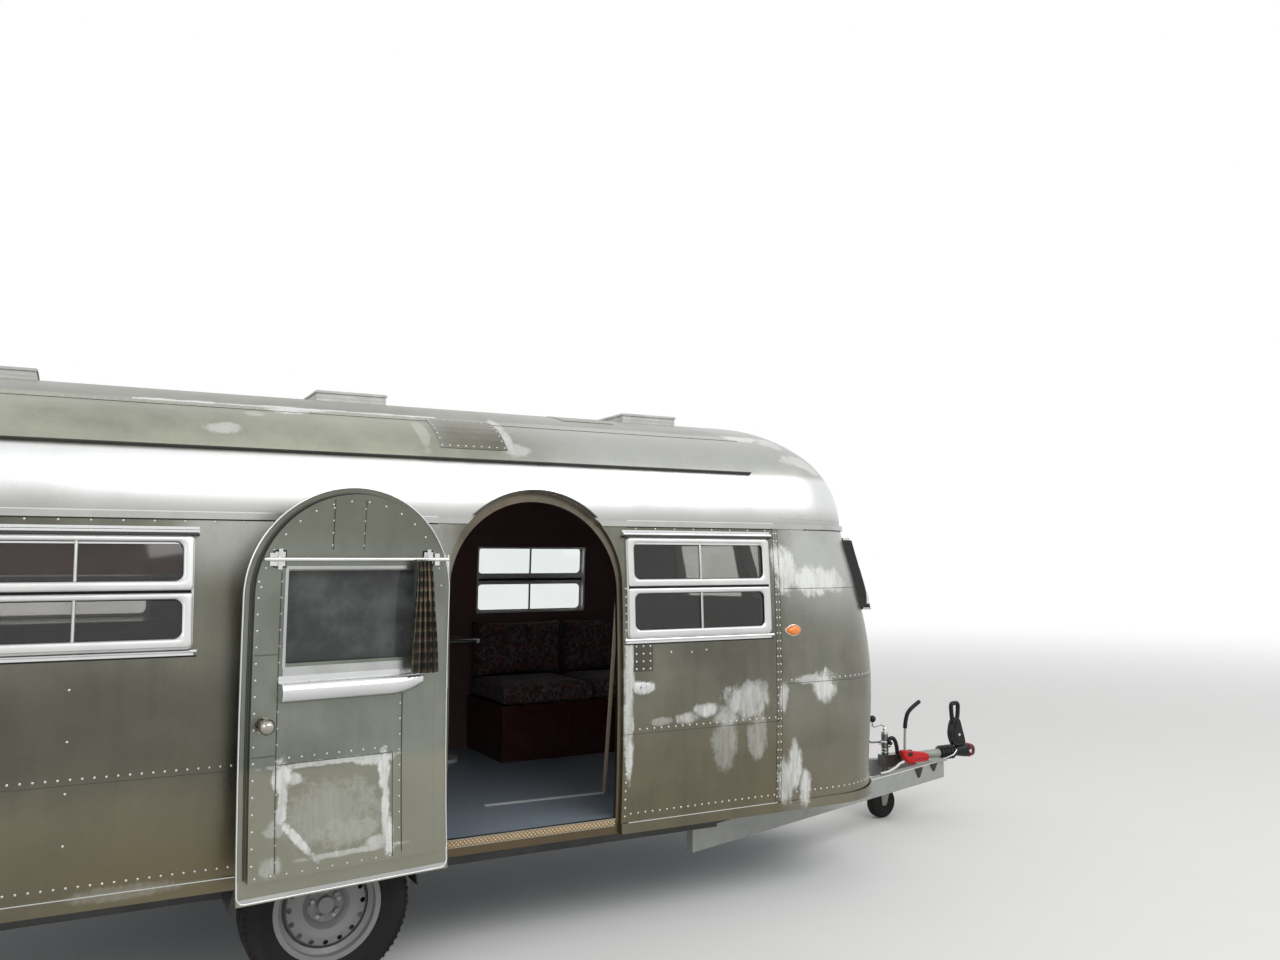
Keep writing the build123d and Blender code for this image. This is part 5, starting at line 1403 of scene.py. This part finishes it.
class CARAVAN_OT_wheels(bpy.types.Operator):
    """Nuts and valves of the road wheels."""

    bl_idname = "caravan.wheels"
    bl_label = "Wheel fittings"

    def execute(self, context):
        for side, sign in (("left", 1), ("right", -1)):
            centre = middle_of(f"wheel_{side}")
            skin = Skin([f"wheel_{side}"])
            nuts, valve = Solid(), Solid()
            for k in range(5):
                turn = pi / 2 + 2 * pi * k / 5
                outside = (centre.x + 0.056 * cos(turn), centre.y + sign * 2, centre.z + 0.056 * sin(turn) + 0.0001)
                found = skin.hit(outside, (0, -sign, 0), 2.3)
                if found is None:
                    continue
                nuts.turned([(-0.004, 0.0125), (0.003, 0.0125), (0.004, 0.0105), (0.016, 0.0105), (0.019, 0.008)],
                            found[0], (0, sign, 0), 6)
            found = skin.hit((centre.x, centre.y + sign * 2, centre.z + 0.188), (0, -sign, 0), 2.3)
            if found is not None:
                valve.tube([found[0] - Vector((0, sign * 0.004, 0)), found[0] + Vector((0, sign * 0.014, -0.004)),
                            found[0] + Vector((0, sign * 0.028, -0.010))], [0.006, 0.004, 0.0045], 10)
                valve.piece(f"tyre_valve_{side}", "black_rubber", 40, f"road_wheel_{side}")
            if nuts.points:
                nuts.piece(f"wheel_nuts_{side}", "galvanised", 30, f"road_wheel_{side}")
        return {"FINISHED"}


def slab(solid, outline, y0, y1, bevel):
    """A form cut from an outline of x and z, between two sideways places, with eased edges."""
    cx = sum(x for x, _ in outline) / len(outline)
    cz = sum(z for _, z in outline) / len(outline)
    rings = []
    for y, shrink in ((y0, bevel), (y0 + bevel, 0), (y1 - bevel, 0), (y1, bevel)):
        scales = [1 - shrink / hypot(x - cx, z - cz) for x, z in outline]
        rings.append([spot(cx + (x - cx) * scale, y, cz + (z - cz) * scale)
                      for (x, z), scale in zip(outline, scales)])
    solid.loft(rings)


def cut_corners(points):
    """Pairs of points that cut the corners off a path or an outline."""
    return [(ax * near + bx * (1 - near), az * near + bz * (1 - near))
            for (ax, az), (bx, bz) in zip(points, points[1:]) for near in (0.75, 0.25)]


def rounded(points, rounds=2):
    """An outline with its corners cut again and again, so that it runs round."""
    for _ in range(rounds):
        points = cut_corners(points + points[:1])
    return points


def eased(share):
    """A cosine or sine that squares up a round section."""
    return copysign(abs(share) ** 0.75, share)


class CARAVAN_OT_coupling(bpy.types.Operator):
    """The coupling's head, handle, ring and bolts, the folded boot and the brake rod."""

    bl_idname = "caravan.coupling"
    bl_label = "Coupling"

    def execute(self, context):
        black = finish_for("casting")
        handle = Solid()
        body = rounded([(4612, 640), (4588, 596), (4574, 530), (4588, 476), (4612, 436), (4722, 436), (4716, 490),
                        (4694, 560), (4668, 640)])
        slab(handle, body, -22, 22, 6)
        loop = [(4612, 622), (4604, 690), (4604, 738), (4637, 741), (4670, 738), (4670, 690), (4660, 622)]
        handle.tube([spot(x, 0, z) for x, z in open_rounded(loop)], 0.0155, 14)
        for side in (-1, 1):
            ridge = rounded([(4630, 620), (4606, 560), (4604, 500), (4636, 462), (4690, 470), (4682, 540),
                             (4660, 618)])
            slab(handle, ridge, *sorted((side * 19, side * 27)), 3)
        piece = handle.piece("coupling_lever", "black_plastic", 40, material=black)
        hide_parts("coupling_handle")

        head = Solid()
        stations = ((4611, 33, 369, 435), (4636, 34, 368, 436), (4672, 37, 362, 440), (4704, 42, 357, 445),
                    (4736, 45, 354, 448), (4768, 45, 355, 447), (4786, 41, 360, 442), (4799, 30, 372, 430),
                    (4806, 13, 388, 414))
        rim = ((4745, 46, 353.5, 448.5), (4746, 47.5, 352, 450), (4754, 47.5, 352, 450), (4755, 46, 353.5, 448.5))
        ring = Solid()
        for solid, places in ((head, stations), (ring, rim)):
            solid.loft([[spot(x, half * eased(cos(turn)), (z0 + z1) / 2 + (z1 - z0) / 2 * eased(sin(turn)))
                         for turn in turns(40)] for x, half, z0, z1 in places])
        piece = head.piece("coupling_shell", "black_plastic", 50, material=black)
        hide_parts("coupling_head")
        ring.piece("coupling_red_ring", "red_plastic", 40)
        bolts = Solid()
        for side in (-1, 1):
            bolts.turned([(-0.004, 0.013), (0.005, 0.013), (0.007, 0.009)], spot(4738, side * 42, 400),
                         (0, side, 0), 6)
            bolts.turned([(-0.004, 0.010), (0.004, 0.010)], spot(4650, side * 27, 520), (0, side, 0), 12)
        bolts.piece("coupling_bolts", "chrome", 35)

        boot = Solid()
        low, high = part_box("overrun_bellows")
        folds = 5
        pitch = (high.x - low.x) / folds
        profile = [(0.0005, 0.028)]
        for k in range(folds):
            for share, radius in ((0.02, 0.0300), (0.20, 0.0370), (0.40, 0.0480), (0.52, 0.0500), (0.64, 0.0480),
                                  (0.84, 0.0370), (0.98, 0.0300)):
                profile.append(((k + share) * pitch, radius))
        boot.turned(profile + [(high.x - low.x - 0.0005, 0.028)], (low.x, 0, up(0.402)), (1, 0, 0), 40)
        piece = boot.piece("folded_boot", "black_rubber", 60,
                           material=painted("boot rubber", (0.010, 0.010, 0.010), 0.26, 0.0, 0.1, 0.45))
        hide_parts("overrun_bellows")

        rods = Solid()
        rods.tube(spots((4296, -66, 385), (4380, -64, 372), (4480, -60, 374), (4560, -58, 392), (4600, -50, 420)),
                  0.0048, 10)
        rods.piece("brake_pull_rod", "chrome", 50)
        return {"FINISHED"}


def open_rounded(points, rounds=3):
    """A path with its corners cut again and again, and its ends kept."""
    for _ in range(rounds):
        points = points[:1] + cut_corners(points) + points[-1:]
    return points


class CARAVAN_OT_handbrake(bpy.types.Operator):
    """The handbrake lever with its grip and red cover."""

    bl_idname = "caravan.handbrake"
    bl_label = "Handbrake"

    def execute(self, context):
        rod, grip, cover = Solid(), Solid(), Solid()
        rod.tube(spots((4090, -70, 404), (4095, -70, 540), (4100, -70, 640)), 0.0085, 12)
        rod.piece("handbrake_rod", "galvanised", 50)
        line = open_rounded([(4098, 612), (4104, 660), (4123, 716), (4168, 750), (4236, 786)])
        radii = [0.0135 - (0.003 if k in (0, len(line) - 1) else 0) + 0.0006 * (k % 2) for k in range(len(line))]
        grip.tube([spot(x, -70, z) for x, z in line], radii, 16)
        piece = grip.piece("handbrake_grip", "black_rubber", 50)
        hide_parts("handbrake_lever")
        outline = rounded([(4056, 440), (4054, 462), (4072, 469), (4150, 455), (4262, 440), (4298, 424), (4302, 392),
                           (4280, 368), (4180, 360), (4120, 366), (4084, 394)], 3)
        slab(cover, outline, -96, -46, 9)
        slot = Solid()
        slot.block(spot(4100, -97, 424), spot(4140, -45, 449))
        slot.block(spot(4086, -84, 452), spot(4148, -58, 463))
        slot.block(spot(4170, -96.6, 398), spot(4290, -45.4, 402))
        piece = cover.piece("handbrake_cover", "red_plastic", 40)
        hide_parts("lever_cover")
        slot.piece("handbrake_cover_slots", "black_plastic")
        return {"FINISHED"}


class CARAVAN_OT_jockey(bpy.types.Operator):
    """The crank, collars and clamp handle of the jockey wheel."""

    bl_idname = "caravan.jockey"
    bl_label = "Jockey wheel"

    def execute(self, context):
        post = middle_of("jockey_wheel")
        x = (post.x - AXLE_X) / MM + 45
        y = post.y / MM
        dress("jockey_wheel", finish_for("tyre"))
        dress("jockey_post", plain_metal("dull post steel", (0.20, 0.20, 0.195), 0.34, 0.9, 0.4, 40.0))
        dress("jockey_fork", plain_metal("dull fork steel", (0.26, 0.25, 0.23), 0.45, 0.8, 0.4, 40.0))
        bright, ball, black = Solid(), Solid(), Solid()
        bright.tube(spots((x, y, 572), (x, y, 600), (x - 4, y, 614), (x - 14, y, 622), (x - 60, y, 624),
                          (x - 98, y, 616), (x - 107, y, 622), (x - 108, y, 650)), 0.0072, 12)
        bright.turned([(0, 0.0245), (0.010, 0.0262), (0.020, 0.0240), (0.026, 0.013), (0.032, 0.015), (0.040, 0.013),
                       (0.046, 0.009)], spot(x, y, 560), (0, 0, 1), 28)
        for z in (502, 452, 432):
            bright.turned([(0, 0.0245), (0.002, 0.0268), (0.010, 0.0268), (0.012, 0.0245)], spot(x, y, z),
                          (0, 0, 1), 28)
        piece = bright.piece("crank_arm", "chrome", 40)
        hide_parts("jockey_crank")
        ball.turned([(0, 0.008), (0.004, 0.014), (0.012, 0.021), (0.024, 0.0245), (0.036, 0.021), (0.044, 0.013),
                     (0.047, 0.004)], spot(x - 108, y, 648), (0, 0, 1), 24)
        ball.piece("crank_knob", "black_plastic", 60)
        line = open_rounded([(x + 8, 512), (x + 30, 536), (x + 62, 528), (x + 84, 480), (x + 90, 420), (x + 92, 385)])
        black.tube([spot(px, y - 26, pz) for px, pz in line], 0.014, 14)
        black.turned([(-0.030, 0.013), (0.030, 0.013)], spot(x + 18, y - 14, 500), (0, 1, 0), 16)
        black.piece("clamp_casting", "black_steel", 50)
        tee = Solid()
        tee.turned([(-0.010, 0.016), (0.022, 0.016), (0.026, 0.012)], spot(x - 24, y, 505), (-1, 0, 0), 16)
        tee.turned([(-0.012, 0.014), (0.020, 0.014)], spot(x + 24, y, 478), (1, 0, 0), 16)
        tee.piece("clamp_screw", "chrome", 40)
        return {"FINISHED"}


BEAM_SKIN = Skin(["drawbar_right"])


def beam_side(x, z):
    """How far out the near drawbar's side stands, in millimetres, at a place along it and a height."""
    point, _ = BEAM_SKIN.hit(spot(x, -1500, z), (0, 1, 0), 1.6)
    return point.y / MM


class CARAVAN_OT_drawbar(bpy.types.Operator):
    """The brackets, a bright tube along the top edge as painted highlight, and the pipe on the near drawbar."""

    bl_idname = "caravan.drawbar"
    bl_label = "Drawbar pieces"

    def execute(self, context):
        ears = Solid()
        for x, z_top, z_tip in ((4100, 364, 302), (4292, 367, 318)):
            outline = [(x - 46, z_top), (x - 8, z_tip), (x + 8, z_tip), (x + 46, z_top)]
            ears.loft([[spot(px, beam_side(px, pz) - out, pz) for px, pz in outline] for out in (0.5, 8)])
        ears.piece("beam_brackets", "black_steel")
        edge = Solid()
        # A bright tube along the beam's top flange: painted highlight.
        run = [spot(x, beam_side(x, 362) + 2, 369) for x in range(3250, 4421, 30)]
        edge.tube(run, 0.0040, 10)
        pipe = spots(*[(x, beam_side(min(x, 4400), 362) + dy, z) for x, dy, z in
                       ((3690, 40, 380), (3770, 26, 384), (3840, 16, 402), (3900, 20, 420), (3950, 26, 422))])
        edge.tube(pipe, 0.0085, 12)
        edge.piece("drawbar_highlight_and_pipe", "galvanised", 60,
                   material=plain_metal("bright zinc", (0.66, 0.67, 0.66), 0.34, 0.7, 0.15))
        return {"FINISHED"}


class CARAVAN_OT_threshold(bpy.types.Operator):
    """The chequered kick strip under the doorway, the strip on the cabin's floor and a leaning batten."""

    bl_idname = "caravan.threshold"
    bl_label = "Threshold"

    def execute(self, context):
        strip, edge = Solid(), Solid()
        for solid, z0, z1, out in ((strip, 512, 540, 16.6), (edge, 541, 544.4, 15.8), (edge, 507.5, 510.5, 15.8)):
            section = ((out, z0), (19, z0), (19, z1), (out, z1))
            solid.loft([[spot(x, -half_width(z) + inside, z) for inside, z in section] for x in (499, 1331)])
        strip.piece("kick_strip", "polished_trim", material=chequered_metal())
        edge.piece("threshold_edges", "polished_trim",
                   material=plain_metal("worn edge", (0.42, 0.41, 0.36), 0.4, 0.8, 0.2))
        strip = Solid()
        corners = ((872, -566), (1517, -597), (1517, -567), (872, -536))
        strip.loft([[spot(x, y, z) for x, y in corners] for z in (545.4, 548.4)])
        strip.piece("floor_strip", "polished_trim",
                    material=plain_metal("floor strip", (0.75, 0.77, 0.78), 0.45, 0.2, 0.1))
        batten = Solid()
        batten.tube(spots((1512, -606, 556), (1440, -830, 1146), (1370, -1046, 1730)), 0.010, 4)
        batten.piece("leaning_batten", "dark_wood", material=painted("pale batten", (0.42, 0.33, 0.25), 0.6))
        return {"FINISHED"}


def lamp_point(centre, normal, upward, turn, lift, scale):
    """A point of a side lamp's outline, which is round in front and pointed behind."""
    across = cos(turn)
    taper = 1.0 if across > 0 else 1 - 0.55 * abs(across) ** 1.5
    return (centre + Vector((0.0465 * across * scale, 0, 0)) + upward * (0.027 * sin(turn) * taper * scale)
            + normal * lift)


class CARAVAN_OT_lamps(bpy.types.Operator):
    """The pointed lenses and rims of the side lamps."""

    bl_idname = "caravan.lamps"
    bl_label = "Side lamps"

    def execute(self, context):
        lens, rim = Solid(), Solid()
        middle = middle_of("marker_lamps")
        for side in (-1, 1):
            face = right_face if side < 0 else left_face
            point, normal = face((middle.x - AXLE_X) / MM, (middle.z - GROUND) / MM)
            upward = normal.cross(Vector((1, 0, 0))).normalized()
            if upward.z < 0:
                upward = -upward
            levels = ((0.0, 1.0), (0.35, 0.96), (0.65, 0.80), (0.86, 0.52), (0.97, 0.22))
            dome = [(0.0045 + 0.0225 * share, scale) for share, scale in levels]
            for solid, rings in ((lens, dome), (rim, [(0.0, 1.12), (0.004, 1.12), (0.005, 1.02)])):
                solid.loft([[lamp_point(point, normal, upward, turn, lift, scale) for turn in turns(28)]
                            for lift, scale in rings])
        piece = lens.piece("marker_lenses", "amber_lens", 60)
        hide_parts("marker_lamps")
        rim.piece("marker_rims", "chrome", 40)
        return {"FINISHED"}


class CARAVAN_OT_patches(bpy.types.Operator):
    """Riveted repair plates and small fittings on the skin."""

    bl_idname = "caravan.patches"
    bl_label = "Repair plates"

    def execute(self, context):
        size = details()
        plates, rivets, dark = Solid(), Solid(), Solid()
        x, z, width, height = 1464, 1297, 106, 134
        lay_plate(dark, right_face, x, z, width, height, 0.0020)
        places = [right_face(x + dx, z + dz) for dx in (-38, 0, 38) for dz in (-54, -18, 18, 54)]
        add_rivets(rivets, places, 0.0062, 0.0042)
        for x, y, width, depth in ((650, -845, 330, 250), (1450, -420, 300, 220)):
            lay_plate(plates, top_face, x, y, width, depth, 0.0022)
            edge = []
            for k in range(int(width / 40) + 1):
                edge += [(x - width / 2 + 12 + k * (width - 24) / int(width / 40), y + s * (depth / 2 - 12))
                         for s in (-1, 1)]
            for k in range(1, int(depth / 40)):
                edge += [(x + s * (width / 2 - 12), y - depth / 2 + 12 + k * (depth - 24) / int(depth / 40))
                         for s in (-1, 1)]
            add_rivets(rivets, [top_face(*p) for p in edge], size.rivet_radius, 0.004)
        metal = tuple(finishes().metal)
        plates.piece("roof_plates", "aluminium_skin", material=aged_metal("roof plate metal", times(metal, 1.35)))
        dark.piece("repair_plate", "aluminium_skin", material=aged_metal("dark plate metal", times(metal, 0.62)))
        rivets.piece("repair_rivets", "aluminium_skin", 60,
                     material=plain_metal("repair rivets", (0.64, 0.64, 0.62), 0.3))
        catch = Solid()
        for x, along in ((1438, 20), (1462, 25), (1488, 19)):
            point, normal = right_face(x, 1155)
            catch.turned([(-0.002, along * MM), (0.0015, along * MM), (0.003, along * MM * 0.8)], point, normal, 22)
        catch.piece("door_holdback_plate", "polished_trim", 40)
        return {"FINISHED"}


class CARAVAN_OT_furniture(bpy.types.Operator):
    """Fronts, edges and handles of the furniture."""

    bl_idname = "caravan.furniture"
    bl_label = "Furniture"

    def execute(self, context):
        low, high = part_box("cabinet")
        fronts, knobs = Solid(), Solid()
        step = (high.x - low.x) / 2
        for k in range(2):
            x0, x1 = low.x + step * k + 0.012, low.x + step * (k + 1) - 0.012
            fronts.block((x0, low.y - 0.016, low.z + 0.07), (x1, low.y - 0.0005, high.z - 0.20))
            fronts.block((x0, low.y - 0.016, high.z - 0.18), (x1, low.y - 0.0005, high.z - 0.03))
            for z in (high.z - 0.28, high.z - 0.105):
                knobs.turned([(0, 0.006), (0.012, 0.006), (0.016, 0.013), (0.024, 0.014), (0.028, 0.009)],
                             (x0 + 0.05 + k * (step - 0.12), low.y - 0.016, z), (0, -1, 0), 20)
        fronts.piece("cabinet_fronts", "dark_wood")
        knobs.piece("cabinet_knobs", "chrome", 40)
        low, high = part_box("bench")
        fascia = Solid()
        step = (high.x - low.x) / 3
        for k in range(3):
            fascia.block((low.x + step * k + 0.02, low.y - 0.012, low.z + 0.05),
                         (low.x + step * (k + 1) - 0.02, low.y - 0.0005, high.z - 0.04))
        fascia.piece("bench_panels", "dark_wood")
        low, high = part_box("table")
        rim = Solid()
        out, level = 0.002, high.z - 0.0125
        x0, x1, y0, y1 = low.x - out, high.x + out, low.y - out, high.y + out
        corners = [Vector((x, y, level)) for x, y in ((x0, y0), (x1, y0), (x1, y1), (x0, y1))]
        path = [a.lerp(b, share) for a, b in zip(corners, corners[1:] + corners[:1]) for share in (0.06, 0.94)]
        rim.tube(path, 0.0125, 10, closed=True)
        rim.piece("table_edge", "polished_trim", 40)
        return {"FINISHED"}


class CARAVAN_OT_stage(bpy.types.Operator):
    """The camera, the pale floor and the studio light."""

    bl_idname = "caravan.stage"
    bl_label = "Stage"

    def execute(self, context):
        scene = context.scene
        camera = bpy.data.cameras.new("camera")
        camera.sensor_width = 36.0
        camera.lens = 29.14
        camera.clip_end = 200.0
        eye = bpy.data.objects.new("camera", camera)
        scene.collection.objects.link(eye)
        yaw = radians(28.6)
        pitch = radians(4.42)
        forward = Vector((sin(yaw) * cos(pitch), cos(yaw) * cos(pitch), sin(pitch)))
        eye.location = (ahead(-0.974), -5.56, up(1.767))
        eye.rotation_euler = forward.to_track_quat("-Z", "Y").to_euler()
        scene.camera = eye

        mesh = bpy.data.meshes.new("floor")
        size = 60.0
        mesh.from_pydata([(-size, -size, GROUND), (size, -size, GROUND), (size, size, GROUND), (-size, size, GROUND)],
                         [], [(0, 1, 2, 3)])
        floor = bpy.data.objects.new("floor", mesh)
        scene.collection.objects.link(floor)
        graph = Graph("pale floor")
        place = graph.place()
        grain = graph.noise(place, 3.0, 4.0, 0.6)
        graph.finish(Base_Color=graph.mix(grain * 0.5, (0.84, 0.84, 0.83), (0.79, 0.79, 0.78)), Roughness=0.85)
        x, y, _ = graph.split(place)
        away = ((x - MIDDLE) ** 2 + y ** 2) ** 0.5
        fade_start, fade_end = 6.0, 26.0
        white = graph.node("ShaderNodeEmission", {}, {"Color": (1.0, 1.0, 1.0), "Strength": 1.0})
        fade = graph.node("ShaderNodeMixShader", {}, {0: away.step(fade_start, fade_end) * graph.seen(),
                                                      1: Value(graph, graph.shader.outputs[0]), 2: white})
        graph.feed(graph.tree.nodes["Material Output"].inputs["Surface"], fade)
        mesh.materials.append(graph.owner)

        studio = Graph("studio", "worlds")
        light = studio.node("ShaderNodeMapRange", {}, {"Value": studio.seen(), "To Min": 0.62, "To Max": 1.0})
        scene.world = studio.finish(Color=(1.0, 1.0, 1.0), Strength=light)

        lamps = (("key", (0.5, -9.5, 9.0), (13.0, 6.0), 720.0),
                 ("fill", (-12.0, -7.0, 5.0), (6.0, 5.0), 160.0))
        for name, place, extent, power in lamps:
            light = bpy.data.lights.new(name, "AREA")
            light.shape = "RECTANGLE"
            light.size, light.size_y = extent
            light.energy = power
            lamp = bpy.data.objects.new(name, light)
            lamp.location = place
            aim = Vector((ahead(0.8), 0, up(1.3))) - Vector(place)
            lamp.rotation_euler = aim.to_track_quat("-Z", "Y").to_euler()
            scene.collection.objects.link(lamp)
        scene.view_settings.view_transform = "Standard"
        return {"FINISHED"}


class CARAVAN_PT_panel(bpy.types.Panel):
    """Lists the pieces in the 3D view's sidebar."""

    bl_label = "Caravan"
    bl_idname = "CARAVAN_PT_panel"
    bl_space_type = "VIEW_3D"
    bl_region_type = "UI"
    bl_category = "Caravan"

    def draw(self, context):
        for operator in OPERATORS:
            self.layout.operator(operator.bl_idname)


OPERATORS = (CARAVAN_OT_stage, CARAVAN_OT_nodes, CARAVAN_OT_lining, CARAVAN_OT_windows, CARAVAN_OT_seams,
             CARAVAN_OT_rivets, CARAVAN_OT_patches, CARAVAN_OT_lamps, CARAVAN_OT_door, CARAVAN_OT_tray,
             CARAVAN_OT_curtain, CARAVAN_OT_cushions, CARAVAN_OT_furniture, CARAVAN_OT_tyres, CARAVAN_OT_wheels,
             CARAVAN_OT_coupling, CARAVAN_OT_handbrake, CARAVAN_OT_jockey, CARAVAN_OT_drawbar,
             CARAVAN_OT_threshold)
CLASSES = (FinishSettings, DetailSettings, *OPERATORS, CARAVAN_PT_panel)


def register():
    for made in CLASSES:
        bpy.utils.register_class(made)
    bpy.types.Scene.caravan_finishes = bpy.props.PointerProperty(type=FinishSettings)
    bpy.types.Scene.caravan_details = bpy.props.PointerProperty(type=DetailSettings)


def unregister():
    del bpy.types.Scene.caravan_details
    del bpy.types.Scene.caravan_finishes
    for made in reversed(CLASSES):
        bpy.utils.unregister_class(made)


def main():
    register()
    bpy.ops.caravan.stage()
    bpy.ops.caravan.nodes()
    bpy.ops.caravan.lining()
    bpy.ops.caravan.windows()
    bpy.ops.caravan.seams()
    bpy.ops.caravan.rivets()
    bpy.ops.caravan.patches()
    bpy.ops.caravan.lamps()
    bpy.ops.caravan.door()
    bpy.ops.caravan.tray()
    bpy.ops.caravan.curtain()
    bpy.ops.caravan.cushions()
    bpy.ops.caravan.furniture()
    bpy.ops.caravan.tyres()
    bpy.ops.caravan.wheels()
    bpy.ops.caravan.coupling()
    bpy.ops.caravan.handbrake()
    bpy.ops.caravan.jockey()
    bpy.ops.caravan.drawbar()
    bpy.ops.caravan.threshold()


if __name__ == "__main__":
    main()
